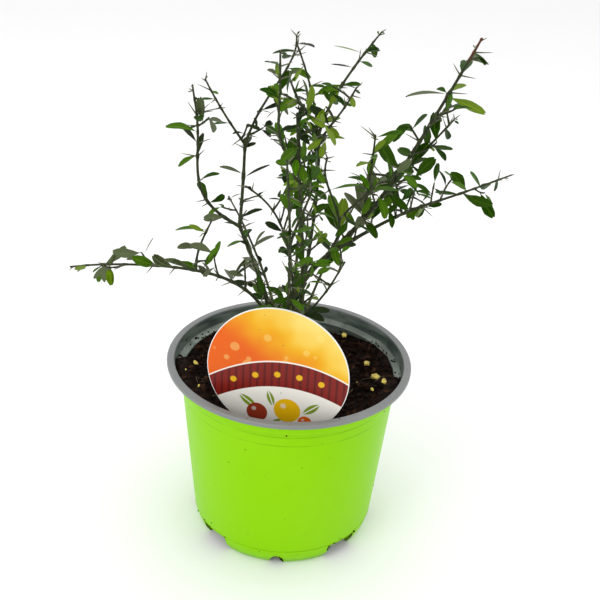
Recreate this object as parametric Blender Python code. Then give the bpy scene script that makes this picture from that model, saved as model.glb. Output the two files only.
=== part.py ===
# A young finger lime in its 13 cm grow pot: pot, soil, round plant label, short trunk,
# boughs and masses of twigs, leaves and thorns. Metres, +Z up, X to the right, Y to the back.
# The origin is on the ground under the middle of the pot.

import math
import random

import bmesh
import bpy
import numpy as np
from mathutils import Vector

MM = 0.001
CLEAR = 0.3 * MM

# Pot
RIM_RADIUS = 65 * MM
RIM_WIDTH = 4 * MM
RIM_DEPTH = 2.7 * MM
POT_HEIGHT = 102 * MM
SHOULDER_TOP_RADIUS = 61.6 * MM
SHOULDER_LOW_RADIUS = 61.2 * MM
SHOULDER_DEPTH = 7.2 * MM
SHOULDER_WALL = 1 * MM
STEP = 0.5 * MM
WALL_TOP_RADIUS = 57.6 * MM
FOOT_LINE_RADIUS = 50.2 * MM
FOOT_LINE_HEIGHT = 10.5 * MM
FOOT_KNEE_RADIUS = 48.8 * MM
FOOT_KNEE_HEIGHT = 5 * MM
FOOT_RADIUS = 45.7 * MM
WALL = 1.3 * MM
FOOT_RING_WIDTH = 3.2 * MM
FOOT_RING_HEIGHT = 10.5 * MM
FLOOR_BEND = 2 * MM
POT_SIDES = 40
WIDE_NOTCH_ANGLE = math.radians(22.5)
WIDE_NOTCH_PLACES = [math.radians(a) for a in (-137, -47, 43, 133)]
SMALL_NOTCH_RADIUS = 3.3 * MM
SMALL_NOTCH_HEIGHT = 6.6 * MM
SMALL_NOTCH_PLACES = [math.radians(a) for a in (-92, -2, 88, 178)]
NOTCH_HEIGHT = 10 * MM
DRAIN_RADIUS = 4 * MM
DRAIN_RING_RADIUS = 30 * MM
DRAIN_COUNT = 6

# Soil
SOIL_HEIGHT = 88 * MM
SOIL_SIDES = 28
SOIL_FLAT_RADIUS = 9 * MM
SOIL_RINGS = 4
SOIL_ROUGHNESS = 1.3 * MM
SOIL_SEED = 7

# Plant label: a round plate on a stake
LABEL_RADIUS = 35.5 * MM
LABEL_THICKNESS = 0.9 * MM
LABEL_CENTRE = Vector((-5 * MM, -45 * MM, 119 * MM))
LABEL_YAW = math.radians(-11)
LABEL_SIDES = 48
STAKE_WIDTH = 14 * MM
STAKE_LENGTH = 34 * MM
STAKE_POINT = 8 * MM

# Trunk
TRUNK_FOOT = Vector((-2 * MM, 0.0, SOIL_HEIGHT + CLEAR))
TRUNK_TOP = Vector((-3 * MM, 0.0, 104 * MM))
TRUNK_FLARE_RADIUS = 5.6 * MM
TRUNK_RADIUS = 4.4 * MM
TRUNK_FLARE_HEIGHT = 3 * MM
TRUNK_SIDES = 12

# Leaves, thorns and twigs
SPACE_X = 115 * MM
SPACE_Y = 97 * MM
SPACE_TOP = 285 * MM
LEAF_THICKNESS = 0.035
LEAF_WIDEST = 0.6
LEAF_RIDGE = 0.2
LEAF_SINK = 0.15 * MM
LEAF_BLUNT = 0.97
LEAF_END = 0.2
THORN_RADIUS = 0.36 * MM
SHORTEST = {"leaf": 6 * MM, "thorn": 8 * MM}
SIDE_TWIG_RADIUS = 0.45 * MM
SIDE_TWIG_TIP_RADIUS = 0.35 * MM
BOUGH_SIDES = 6
TWIG_SIDES = 3
SWELL = {BOUGH_SIDES: 1.05, TWIG_SIDES: 1.2}
STEP_ALONG = 11 * MM
TWIG_OVERRUN = 1.05
STEM_GAP = 1.2
BEAD_STEP = 1.2 * MM
TUBE_SLACK = 0.2 * MM
UP = np.array([0.0, 0.0, 1.0])

# Limbs: parent, place (on the trunk: angle in degrees, distance out and height in mm; on a limb:
# the share of its length), then tip, bow and sway in mm, and the radii at root and tip in mm.
LIMBS = {
    "far_left": ("trunk", (-125, 4.7, 101.5), (-113.5, -4, 150), (19, -14, 31.5), (2.5, -5, 5.5), (0.95, 0.45)),
    "far_left_up": ("far_left", 0.56, (-40.5, -14, 184.5), (-2, 0, -0.5), (0, 0, 0.5), (0.6, 0.4)),
    "left": ("trunk", (146, 4.7, 101), (-29, 6, 174), (2.5, 2, 1), (-0.5, 4, 0.5), (1.1, 0.85)),
    "left_tall": ("left", 0.99, (-49, -22, 252.5), (-10, 4, -4.5), (-3.5, 0, -2), (0.8, 0.4)),
    "left_inner": ("left", 0.99, (-28.5, 30, 209), (0, 4, -3), (0, 0, 0), (0.85, 0.7)),
    "left_inner_out": ("left_inner", 0.99, (-47.5, 16, 245), (-1, 0, 0), (0, 0, 0), (0.6, 0.4)),
    "left_inner_in": ("left_inner", 0.99, (-5, 46, 261.5), (3, 0, 3), (-2.5, 0, -1.5), (0.65, 0.4)),
    "thin_left": ("trunk", (-159, 3.7, 104.3), (-24, -26, 207.5), (15, -6, 1), (-0.5, 0, -7.5), (0.7, 0.4)),
    "thin_left_side": ("thin_left", 0.67, (-2, -34, 202.5), (-1.5, 0, -1), (-0.5, 0, -1), (0.5, 0.4)),
    "centre": ("trunk", (-65, 3.4, 104.3), (-1.5, -38, 247), (5.5, -6, -1), (1.5, -1.5, 0), (1, 0.7)),
    "centre_top": ("centre", 0.99, (-5, -46, 263), (4.5, 0, -3.5), (1, 0, 0.5), (0.6, 0.4)),
    "centre_thin": ("centre", 0.79, (-9.5, -52, 276.5), (-5, 0, -1.5), (-1.5, 0, 1), (0.6, 0.4)),
    "centre_right": ("trunk", (10, 3.4, 104.3), (-4.5, 22, 263.5), (11.5, 10, 0), (-2, 0, -1), (1.05, 0.4)),
    "right_up": ("centre_right", 0.7, (37.5, 44, 266), (-2.5, 0, 2), (-0.5, 0, 0), (0.75, 0.4)),
    "right_up_low": ("centre_right", 0.64, (24.5, -8, 251.5), (-2.5, 0, -1), (-1.5, 0, -0.5), (0.65, 0.4)),
    "right": ("trunk", (5, 0, 104.3), (21, 12, 160), (-9.5, 1, 0), (-2, -1, -3), (1.45, 1.25)),
    "right_low": ("right", 1, (113, 46, 194), (0, 0, 4), (2.5, 0, 2.5), (0.95, 0.4)),
    "right_low_up": ("right_low", 0.34, (45.5, 20, 206.5), (1, 0, -2), (0.5, 0, -2), (0.6, 0.4)),
    "right_low_mid": ("right_low", 0.39, (62, 44, 183), (0, 0, 0), (0, 0, 0), (0.5, 0.4)),
    "right_tall": ("right", 0.92, (77, -18, 279), (4, -2, -2), (1, 0, 0), (1.25, 0.5)),
    "right_tall_mid": ("right_tall", 0.2, (33.5, -30, 236.5), (0.5, 0, 0), (0, 0, 0), (0.65, 0.4)),
    "right_tall_side": ("right_tall", 0.5, (73, 6, 235), (-1, 0, -3.5), (-2, 0, -3), (0.6, 0.4)),
    "right_inner": ("right", 0.84, (12.5, -42, 229), (5, 0, 5), (4, 0, -1), (0.7, 0.4)),
    "right_fill": ("right_inner", 0.37, (37, -34, 216), (0, 0, 0.5), (0, 0, 0.5), (0.5, 0.4)),
    "back": ("trunk", (78, 3.4, 104.3), (2, 94, 203), (1.5, 4, -4), (0, -3, 0), (1, 0.4)),
    "back_up": ("back", 0.63, (-9.5, 66, 202.5), (0, 0, 0), (0, 0, 0.5), (0.6, 0.4)),
    "front": ("trunk", (-78, 4.7, 99), (-4, -94, 245.5), (1.5, -4, -0.5), (-0.5, 0, 2), (1, 0.4)),
    "front_side": ("front", 0.7, (6.5, -84, 230), (0, 0, 0.5), (0, 0, 0.5), (0.6, 0.4)),
    "front_left": ("trunk", (-133, 4.7, 94.5), (-17.5, -70, 190), (-0.5, 6, 7.5), (1.5, -3, -1), (0.85, 0.4)),
    "back_left": ("trunk", (119, 4.7, 93), (-40, 72, 162.5), (5, 5, 2), (1.5, 2, -3), (0.9, 0.4)),
    "back_right": ("trunk", (38, 4.7, 96), (36, 78, 168.5), (-4, 1, -2), (-0.5, 0, 0.5), (0.9, 0.4)),
    "low_right": ("trunk", (-61, 4.7, 94.5), (23.5, -46, 181), (-10, -7, 0.5), (-4.5, -1, 0), (0.8, 0.4)),
    "tuft_left": ("trunk", (131, 4.7, 98.5), (-20.5, 8, 142), (5, 8, 1.5), (2, 2, 0), (0.6, 0.4)),
    "tuft_right": ("trunk", (-146, 4.7, 99), (10, -16, 147), (-7.5, 2, -4.5), (-1.5, 1, -4), (0.6, 0.4)),
    "tuft_back": ("trunk", (74, 4.7, 93), (-9.5, 34, 123.5), (1.5, 0, 1.5), (-1, 0, 1.5), (0.6, 0.4)),
}

# The bare lower share of each limb that is a bough of its own.
BOUGHS = {
    "far_left": 0.3, "left": 0.36, "thin_left": 0.4, "centre": 0.34, "centre_right": 0.3,
    "right": 1, "back": 0.35, "front": 0.3, "front_left": 0.3, "back_left": 0.3,
    "back_right": 0.3, "low_right": 0.35,
}

# Each mass and the limbs that carry it, the first one from its foot.
MASSES = {
    "foliage_far_left": ["far_left", "far_left_up"],
    "foliage_left": ["left", "left_tall", "left_inner", "left_inner_out", "left_inner_in"],
    "foliage_thin_left": ["thin_left", "thin_left_side"],
    "foliage_centre": ["centre", "centre_top", "centre_thin"],
    "foliage_centre_right": ["centre_right", "right_up", "right_up_low"],
    "foliage_right_low": ["right_low", "right_low_up", "right_low_mid"],
    "foliage_right_tall": ["right_tall", "right_tall_mid", "right_tall_side"],
    "foliage_right_inner": ["right_inner", "right_fill"],
    "foliage_back": ["back", "back_up"],
    "foliage_front": ["front", "front_side"],
    "foliage_front_left": ["front_left"],
    "foliage_back_left": ["back_left"],
    "foliage_back_right": ["back_right"],
    "foliage_low_right": ["low_right"],
    "foliage_tuft_left": ["tuft_left"],
    "foliage_tuft_right": ["tuft_right"],
    "foliage_tuft_back": ["tuft_back"],
}

# Where the leaves start on each limb, its shortest and longest leaf in mm, and its habit: two
# letters for each node, which seed what grows there.
HABITS = {
    "far_left": (0.3, (8, 17), "iiggfgchacvfqwsfgogfiehk"),
    "far_left_up": (0.08, (8, 15), "bmchqh"),
    "left": (0.36, (9, 17), "pxxwisabbe"),
    "left_tall": (0.03, (7, 17), "hdakdncydxlnrrzvph"),
    "left_inner": (0.05, (10, 17), "zipzwjbg"),
    "left_inner_out": (0.03, (5, 11), "kgrzelkqwb"),
    "left_inner_in": (0.03, (6, 15), "nmvjjwlvnuboaw"),
    "thin_left": (0.4, (6, 13), "auqwhyksuonwwqlwub"),
    "thin_left_side": (0.1, (6, 12), "mohmrh"),
    "centre": (0.34, (8, 16), "izzxbjkvepariiyxhmcusvcdjx"),
    "centre_top": (0.05, (8, 14), "fmttxgxx"),
    "centre_thin": (0.03, (7, 15), "memmjjacnrmfvqdk"),
    "centre_right": (0.3, (7, 15), "nvbcfgccdufxxcpmxuzpchffefwc"),
    "right_up": (0.03, (7, 15), "ylxxnilezrmmni"),
    "right_up_low": (0.03, (8, 16), "hahnmzabwculnoyo"),
    "right_low": (0.06, (9, 18), "jxqwfgkvkdeaifcmopqxms"),
    "right_low_up": (0.1, (10, 16), "sjwgteso"),
    "right_low_mid": (0.1, (8, 13), "qmnxxd"),
    "right_tall": (0.05, (10, 19), "gkqwrhckxuchwvpmvsuhbzudbjuloo"),
    "right_tall_mid": (0.05, (9, 17), "slcveajmpkesmnoq"),
    "right_tall_side": (0.05, (9, 16), "kqkmvxxjjk"),
    "right_inner": (0.1, (11, 19), "utcvrfertwskonrrsxpe"),
    "right_fill": (0.05, (10, 17), "pwpgidnibk"),
    "back": (0.35, (8, 14), "lzbazwgtdwhciznjgqwq"),
    "back_up": (0.05, (8, 14), "egyaswiy"),
    "front": (0.3, (7, 13), "evfzaoszgwrcjsbcrhvuewkiwt"),
    "front_side": (0.05, (7, 13), "cerkklmx"),
    "front_left": (0.3, (7, 13), "aprmdjzqmwfbjtjsqn"),
    "back_left": (0.3, (7, 13), "jxhkvzhuvwdsjlsxiqfo"),
    "back_right": (0.3, (8, 15), "uubaefqoplozrfbngp"),
    "low_right": (0.35, (7, 13), "gkhndjwdjglykc"),
    "tuft_left": (0.25, (9, 18), "jxfzxnqjik"),
    "tuft_right": (0.2, (6, 10), "apqwihpnhqodxybjsc"),
    "tuft_back": (0.2, (6, 10), "jxqwoxutji"),
}

# Single leaves that stand out: the share of the limb's length they leave at, where the tip lies
# from the foot in mm, the width in mm, and how far the face leans from up to the front in degrees.
LONE_LEAVES = {
    "far_left": [(0.89, (10.5, 4.5, 9), 5, 40)],
    "far_left_up": [(0.82, (-15.5, 0, 0), 5, 0)],
    "left_tall": [(0.7, (-15.5, 1, 2), 5, 25), (0.56, (-9.5, -2.5, -4.5), 4, 20)],
    "left_inner": [(0.61, (13, 4, 7.5), 4, 0)],
    "right_up": [(0.46, (-12, -2.5, -4.5), 5, 40), (0.62, (-11.5, 0.5, 1), 4, 0), (0.76, (-15, 2, 4), 4, -5)],
    "right_low": [(0.47, (-7.5, -3, -5.5), 5, 60), (0.72, (-13, 0, 0.5), 5, 15), (0.76, (-9, 4.5, 8.5), 7, 70)],
    "right_tall": [(0.78, (18.5, -2.5, -5), 6, 30), (0.79, (-19.5, 0, 0), 5, 0)],
}


def principled(name, colour, roughness, metallic=0.0):
    material = bpy.data.materials.new(name)
    material.use_nodes = True
    shader = material.node_tree.nodes["Principled BSDF"]
    shader.inputs["Base Color"].default_value = (*colour, 1.0)
    shader.inputs["Roughness"].default_value = roughness
    shader.inputs["Metallic"].default_value = metallic
    return material


def add_object(name, mesh, material=None):
    item = bpy.data.objects.new(name, mesh)
    bpy.context.scene.collection.objects.link(item)
    if material is not None:
        mesh.materials.append(material)
    return item


def mesh_from(name, points, faces):
    mesh = bpy.data.meshes.new(name)
    mesh.from_pydata([tuple(p) for p in points], [], faces)
    build = bmesh.new()
    build.from_mesh(mesh)
    bmesh.ops.recalc_face_normals(build, faces=build.faces)
    build.to_mesh(mesh)
    build.free()
    return mesh


def turned(name, profile, sides):
    """A closed body of revolution from (radius, height) pairs; a zero radius is a pole."""
    points = []
    rings = []
    for radius, height in profile:
        if radius == 0.0:
            rings.append([len(points)])
            points.append((0.0, 0.0, height))
            continue
        first = len(points)
        for k in range(sides):
            angle = 2 * math.pi * (k + 0.5) / sides
            points.append((radius * math.cos(angle), radius * math.sin(angle), height))
        rings.append(list(range(first, first + sides)))
    faces = []
    for low, high in zip(rings, rings[1:]):
        for k in range(sides):
            after = (k + 1) % sides
            if len(low) == 1:
                faces.append((low[0], high[after], high[k]))
            elif len(high) == 1:
                faces.append((low[k], low[after], high[0]))
            else:
                faces.append((low[k], low[after], high[after], high[k]))
    return mesh_from(name, points, faces)


def add_cut(item, cutter):
    cutter.hide_render = True
    cutter.display_type = "WIRE"
    cut = item.modifiers.new("cut", "BOOLEAN")
    cut.operation = "DIFFERENCE"
    cut.object = cutter


def box_at(name, low, high, angle):
    """A box from corner to corner, turned about the pot's axis."""
    build = bmesh.new()
    bmesh.ops.create_cube(build, size=1.0)
    for vert in build.verts:
        vert.co = Vector([low[i] if vert.co[i] < 0 else high[i] for i in range(3)])
    mesh = bpy.data.meshes.new(name)
    build.to_mesh(mesh)
    build.free()
    cutter = add_object(name, mesh)
    cutter.rotation_euler.z = angle
    return cutter


def rod_at(name, radius, depth, centre, turn, sides):
    build = bmesh.new()
    bmesh.ops.create_cone(build, cap_ends=True, segments=sides, radius1=radius, radius2=radius, depth=depth)
    mesh = bpy.data.meshes.new(name)
    build.to_mesh(mesh)
    build.free()
    cutter = add_object(name, mesh)
    cutter.location = centre
    cutter.rotation_euler = turn
    return cutter


def inner_wall(gap=0.0):
    """The inside of the pot from its floor to the ledge, as (radius, height) pairs."""
    floor = FOOT_RING_HEIGHT + WALL
    ledge = POT_HEIGHT - SHOULDER_DEPTH - STEP
    slope = (WALL_TOP_RADIUS - FOOT_LINE_RADIUS) / (ledge - SHOULDER_WALL - FOOT_LINE_HEIGHT)
    corner = FOOT_LINE_RADIUS - WALL - gap
    return [
        (corner - FLOOR_BEND / 3, floor + gap),
        (corner + slope * (floor + FLOOR_BEND - FOOT_LINE_HEIGHT), floor + FLOOR_BEND),
        (corner + slope * (ledge - FOOT_LINE_HEIGHT), ledge),
    ]


def make_pot():
    """The injection-moulded pot: flat rim, shoulder, tapering wall, and a foot ring with notches."""
    ledge = POT_HEIGHT - SHOULDER_DEPTH
    inside = inner_wall()
    profile = [
        (0.0, FOOT_RING_HEIGHT),
        (FOOT_RADIUS - FOOT_RING_WIDTH, FOOT_RING_HEIGHT),
        (FOOT_RADIUS - FOOT_RING_WIDTH, 0.0),
        (FOOT_RADIUS, 0.0),
        (FOOT_KNEE_RADIUS, FOOT_KNEE_HEIGHT),
        (FOOT_LINE_RADIUS, FOOT_LINE_HEIGHT),
        (WALL_TOP_RADIUS, ledge - SHOULDER_WALL - STEP),
        (SHOULDER_LOW_RADIUS, ledge - SHOULDER_WALL),
        (SHOULDER_TOP_RADIUS, POT_HEIGHT - RIM_DEPTH),
        (RIM_RADIUS, POT_HEIGHT - RIM_DEPTH),
        (RIM_RADIUS, POT_HEIGHT),
        (RIM_RADIUS - RIM_WIDTH, POT_HEIGHT),
        (SHOULDER_TOP_RADIUS - SHOULDER_WALL, POT_HEIGHT - RIM_DEPTH),
        (SHOULDER_LOW_RADIUS - SHOULDER_WALL, ledge),
        inside[2],
        inside[1],
        inside[0],
        (0.0, inside[0][1]),
    ]
    green = principled("pot_green", (0.29, 0.72, 0.01), 0.42)
    pot = add_object("pot", turned("pot", profile, POT_SIDES), green)
    half = FOOT_RADIUS * math.tan(WIDE_NOTCH_ANGLE / 2)
    for place in WIDE_NOTCH_PLACES:
        low = (FOOT_RADIUS - 2 * FOOT_RING_WIDTH, -half, -MM)
        high = (FOOT_KNEE_RADIUS + FOOT_RING_WIDTH, half, NOTCH_HEIGHT)
        add_cut(pot, box_at("notch_cutter", low, high, place - math.pi / 2))
    for place in SMALL_NOTCH_PLACES:
        centre = Vector((math.sin(place), -math.cos(place), 0.0)) * FOOT_RADIUS
        turn = (math.pi / 2, 0.0, place)
        cutter = rod_at("notch_cutter", SMALL_NOTCH_RADIUS, 4 * FOOT_RING_WIDTH, centre, turn, 12)
        cutter.scale.y = SMALL_NOTCH_HEIGHT / SMALL_NOTCH_RADIUS
        add_cut(pot, cutter)
    for k in range(DRAIN_COUNT):
        angle = 2 * math.pi * k / DRAIN_COUNT
        centre = (DRAIN_RING_RADIUS * math.cos(angle), DRAIN_RING_RADIUS * math.sin(angle), FOOT_RING_HEIGHT)
        add_cut(pot, rod_at("drain_cutter", DRAIN_RADIUS, 4 * WALL, centre, (0.0, 0.0, 0.0), 12))
    return pot


def label_outline(grow=0.0):
    """The round plate and its pointed stake as one outline, counted anticlockwise."""
    radius = LABEL_RADIUS + grow
    half = STAKE_WIDTH / 2 + grow
    low = -LABEL_RADIUS - STAKE_LENGTH - grow
    spread = math.asin(half / radius)
    outline = []
    for k in range(LABEL_SIDES + 1):
        angle = -math.pi / 2 + spread + (2 * math.pi - 2 * spread) * k / LABEL_SIDES
        outline.append((radius * math.cos(angle), radius * math.sin(angle)))
    outline += [(-half, low + STAKE_POINT), (0.0, low), (half, low + STAKE_POINT)]
    return outline


def make_label(name, grow=0.0, material=None):
    depth = LABEL_THICKNESS / 2 + grow
    outline = label_outline(grow)
    count = len(outline)
    points = [(x, -depth, z) for x, z in outline]
    points += [(x, depth, z) for x, z in outline]
    faces = [tuple(range(count)), tuple(range(2 * count - 1, count - 1, -1))]
    faces += [(k, (k + 1) % count, (k + 1) % count + count, k + count) for k in range(count)]
    label = add_object(name, mesh_from(name, points, faces), material)
    label.location = LABEL_CENTRE
    label.rotation_euler.z = LABEL_YAW
    return label


def make_soil():
    """The root ball's earth: it fills the pot and is flat under the trunk and lumpy elsewhere."""
    rng = random.Random(SOIL_SEED)
    inside = inner_wall(CLEAR)
    share = (SOIL_HEIGHT - inside[1][1]) / (inside[2][1] - inside[1][1])
    brink = inside[1][0] + (inside[2][0] - inside[1][0]) * share
    rings = [SOIL_FLAT_RADIUS + (brink - SOIL_FLAT_RADIUS) * k / SOIL_RINGS for k in range(SOIL_RINGS + 1)]
    profile = [(0.0, inside[0][1]), inside[0], inside[1]] + [(r, SOIL_HEIGHT) for r in rings[::-1]]
    profile.append((0.0, SOIL_HEIGHT))
    mesh = turned("potting_soil", profile, SOIL_SIDES)
    for vert in mesh.vertices:
        out = math.hypot(vert.co.x, vert.co.y)
        if vert.co.z > SOIL_HEIGHT - MM and SOIL_FLAT_RADIUS * 1.2 < out < brink - MM:
            vert.co.z += rng.uniform(-SOIL_ROUGHNESS, SOIL_ROUGHNESS)
    soil = add_object("potting_soil", mesh, principled("soil", (0.02, 0.013, 0.009), 0.95))
    add_cut(soil, make_label("label_slot_cutter", CLEAR))
    return soil


def make_trunk(bark):
    """The short crown of the plant, flared at the soil and cut flat there."""
    heights = [0.0, 0.3 * TRUNK_FLARE_HEIGHT, TRUNK_FLARE_HEIGHT, (TRUNK_TOP - TRUNK_FOOT).z]
    radii = [TRUNK_FLARE_RADIUS, 0.5 * (TRUNK_FLARE_RADIUS + TRUNK_RADIUS), TRUNK_RADIUS, TRUNK_RADIUS]
    points = []
    for height, radius in zip(heights, radii):
        middle = TRUNK_FOOT.lerp(TRUNK_TOP, height / heights[-1])
        for k in range(TRUNK_SIDES):
            angle = 2 * math.pi * k / TRUNK_SIDES
            lobe = radius * (1.0 + 0.08 * math.cos(3 * angle) * (radius > TRUNK_RADIUS))
            points.append((middle.x + lobe * math.cos(angle), middle.y + lobe * math.sin(angle), middle.z))
    faces = [tuple(range(TRUNK_SIDES))[::-1], tuple(range(len(points) - TRUNK_SIDES, len(points)))]
    for ring in range(len(heights) - 1):
        for k in range(TRUNK_SIDES):
            low = ring * TRUNK_SIDES
            after = (k + 1) % TRUNK_SIDES
            faces.append((low + k, low + after, low + TRUNK_SIDES + after, low + TRUNK_SIDES + k))
    return add_object("trunk", mesh_from("trunk", points, faces), bark)


def unit(v):
    return v / np.linalg.norm(v)


def across(axis, angle):
    """The direction square to a twig at an angle round it; 0 is level, 90 degrees is up."""
    side = np.cross(axis, UP)
    if np.linalg.norm(side) < 0.15:
        side = np.array([1.0, 0.0, 0.0]) - axis * axis[0]
    side = unit(side)
    return side * math.cos(angle) + np.cross(side, axis) * math.sin(angle)


class Limb:
    """A tapering limb: a straight run from root to tip, bowed once and swayed once."""

    def __init__(self, root, tip, bow, sway, radius_root, radius_tip):
        self.root = np.array(root)
        self.run = np.array(tip) - self.root
        self.bow = np.array(bow)
        self.sway = np.array(sway)
        self.radius_root = radius_root
        self.radius_tip = radius_tip

    def point(self, t):
        return self.root + self.run * t + self.bow * (4 * t * (1 - t)) + self.sway * math.sin(2 * math.pi * t)

    def axis(self, t):
        return unit(self.point(min(1.0, t + 0.02)) - self.point(max(0.0, t - 0.02)))

    def radius(self, t):
        return self.radius_root + (self.radius_tip - self.radius_root) * t

    def length(self, start=0.0, end=1.0):
        points = [self.point(start + (end - start) * k / 24) for k in range(25)]
        return sum(float(np.linalg.norm(b - a)) for a, b in zip(points, points[1:]))

    def beads(self, start=0.0, end=1.0):
        """Balls along the limb, one row each of x, y, z and radius."""
        count = max(2, int(self.length(start, end) / BEAD_STEP) + 1)
        shares = [start + (end - start) * k / (count - 1) for k in range(count)]
        return np.array([[*self.point(t), self.radius(t) + TUBE_SLACK] for t in shares])


def trunk_root(place):
    """A limb's root on the trunk from its angle, its distance from the middle and its height."""
    angle, out, height = math.radians(place[0]), place[1] * MM, place[2] * MM
    share = (min(height, TRUNK_TOP.z) - TRUNK_FOOT.z) / (TRUNK_TOP.z - TRUNK_FOOT.z)
    middle = TRUNK_FOOT.lerp(TRUNK_TOP, share)
    return np.array([middle.x + out * math.cos(angle), middle.y + out * math.sin(angle), height])


def lay_limbs():
    """Every limb from its row; a child starts on its parent's line."""
    limbs = {}
    for name, (parent, place, tip, bow, sway, radii) in LIMBS.items():
        root = trunk_root(place) if parent == "trunk" else limbs[parent].point(place)
        sizes = [np.array(part) * MM for part in (tip, bow, sway, radii)]
        limbs[name] = Limb(root, sizes[0], sizes[1], sizes[2], sizes[3][0], sizes[3][1])
    return limbs


def make_leaf(rng, foot, axis, angle, length, on=None):
    """One leaf: it points outward and forward from its twig and its face looks mostly up."""
    lean = rng.uniform(0.0, 0.9)
    point = across(axis, angle) + axis * lean
    point[2] += rng.uniform(-0.5, 0.35)
    point = unit(point)
    face = np.array([rng.gauss(0, 0.5), rng.gauss(0, 0.5), 0.7]) + axis * 0.3
    face = unit(face - point * (face @ point))
    width = length * rng.uniform(0.34, 0.46)
    return leaf_item(foot, point, face, length, width, on)


def leaf_item(foot, way, face, length, width, on=None):
    return {"kind": "leaf", "foot": foot, "way": way, "face": face, "length": length, "width": width, "on": on}


def lone_leaf(limb, share, reach, width, lean):
    """A leaf placed by hand, from its row."""
    reach = np.array(reach) * MM
    length = float(np.linalg.norm(reach))
    lean = math.radians(lean)
    face = np.array([0.0, -math.sin(lean), math.cos(lean)])
    face = unit(face - reach * (face @ reach) / length**2)
    return leaf_item(limb.point(share), reach / length, face, length, width * MM)


def grow_node(limb, k, count, syllable, start, sizes):
    """What one node of a limb carries: leaves or a side twig of three, and often a thorn."""
    rng = random.Random(f"{syllable}{k}")
    share = (k + 0.5 + rng.uniform(-0.42, 0.42)) / count
    t = start + (1 - start) * share
    foot = limb.point(t)
    axis = limb.axis(t)
    angle = rng.uniform(0, 2 * math.pi)
    size = rng.triangular(sizes[0] * MM, sizes[1] * MM)
    items = []
    kind = rng.random()
    if kind < 0.2:
        way = unit(across(axis, angle) + axis * rng.uniform(0.2, 1.0) + UP * 0.2)
        tip = foot + way * (rng.uniform(7.0, 16.0) * MM)
        bend = across(axis, angle + 1.2) * MM
        twig = Limb(foot, tip, bend, np.zeros(3), SIDE_TWIG_RADIUS, SIDE_TWIG_TIP_RADIUS)
        items.append({"kind": "twig", "limb": twig, "on": None})
        turn = rng.uniform(0, 6.28)
        for spot in (0.5, 0.8, 1.0):
            length = size * rng.uniform(0.6, 1.0)
            items.append(make_leaf(rng, twig.point(spot), twig.axis(spot), turn, length, on=0))
            turn += 2.4 + rng.gauss(0, 0.4)
    else:
        leaves = 1 if kind < 0.65 else 2
        if kind > 0.92:
            leaves = 3
        for _ in range(leaves):
            items.append(make_leaf(rng, foot, axis, angle, size))
            angle += rng.choice((-1, 1)) * rng.uniform(0.7, 2.2)
            size *= rng.uniform(0.55, 0.95)
    if rng.random() < 0.55:
        way = unit(across(axis, angle + rng.uniform(-0.9, 0.9)) + axis * rng.uniform(0.0, 0.8))
        length = rng.uniform(4.5, 10.5) * MM
        items.append({"kind": "thorn", "foot": foot, "way": way, "length": length, "on": None})
    return items


def item_beads(item):
    """Balls that cover a leaf, thorn or side twig."""
    if item["kind"] == "twig":
        return item["limb"].beads()
    foot, way, length = item["foot"], item["way"], item["length"]
    if item["kind"] == "thorn":
        return np.array([[*(foot + way * length * share), THORN_RADIUS] for share in (0.2, 0.4, 0.6, 0.8, 1.0)])
    side = np.cross(item["face"], way) * item["width"]
    rows = []
    for along, wide in ((0.12, 0.0), (0.3, 0.2), (0.45, 0.3), (0.6, 0.34), (0.75, 0.32), (0.9, 0.22)):
        for hand in ((-1, 1) if wide else (0,)):
            rows.append([*(foot + way * along * length + side * wide * hand), 0.09 * length + 0.2 * MM])
    return np.array(rows)


def in_space(beads):
    """Whether balls stay inside the plant's space and off the soil, the pot and the label."""
    place, radius = beads[:, :3], beads[:, 3]
    out = np.hypot(place[:, 0], place[:, 1])
    if (np.abs(place[:, 0]) + radius > SPACE_X).any() or (np.abs(place[:, 1]) + radius > SPACE_Y).any():
        return False
    if (place[:, 2] + radius > SPACE_TOP).any():
        return False
    if (place[:, 2] - radius < SOIL_HEIGHT + SOIL_ROUGHNESS + CLEAR).any():
        return False
    wall = WALL_TOP_RADIUS - WALL - CLEAR
    if ((place[:, 2] - radius < POT_HEIGHT + CLEAR) & (out + radius > wall)).any():
        return False
    away = place - np.array(LABEL_CENTRE)
    flat = away[:, 0] * math.cos(LABEL_YAW) + away[:, 1] * math.sin(LABEL_YAW)
    deep = away[:, 1] * math.cos(LABEL_YAW) - away[:, 0] * math.sin(LABEL_YAW)
    near = np.abs(deep) < LABEL_THICKNESS / 2 + CLEAR + radius
    return not (near & (np.hypot(flat, away[:, 2]) < LABEL_RADIUS + CLEAR + radius)).any()


def clear_of(beads, others):
    """Whether balls keep the clearance from every ball of the other nodes."""
    gaps = np.linalg.norm(others[:, None, :3] - beads[None, :, :3], axis=2)
    return (gaps - others[:, None, 3] - beads[None, :, 3]).min() > CLEAR


def tube(limb, start, end, sides, seat=None):
    """A faceted tube along a limb; the first ring can be slid onto a plane (normal, distance)."""
    count = max(1, round(limb.length(start, end) / STEP_ALONG))
    swell = SWELL[sides]
    points = []
    side = across(limb.axis(start), 0.0)
    for k in range(count + 1):
        t = start + (end - start) * k / count
        centre, axis = limb.point(t), limb.axis(min(t, 1.0))
        side = unit(side - axis * (side @ axis))
        other = np.cross(axis, side)
        for j in range(sides):
            angle = 2 * math.pi * j / sides
            spot = centre + (side * math.cos(angle) + other * math.sin(angle)) * limb.radius(t) * swell
            if k == 0 and seat is not None:
                spot = spot + axis * ((seat[1] - seat[0] @ spot) / (seat[0] @ axis))
            points.append(spot)
    faces = [tuple(range(sides)), tuple(range(len(points) - sides, len(points)))]
    for k in range(count):
        for j in range(sides):
            after = (j + 1) % sides
            low = k * sides
            faces.append((low + j, low + after, low + sides + after))
            faces.append((low + j, low + sides + after, low + sides + j))
    return points, faces


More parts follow.
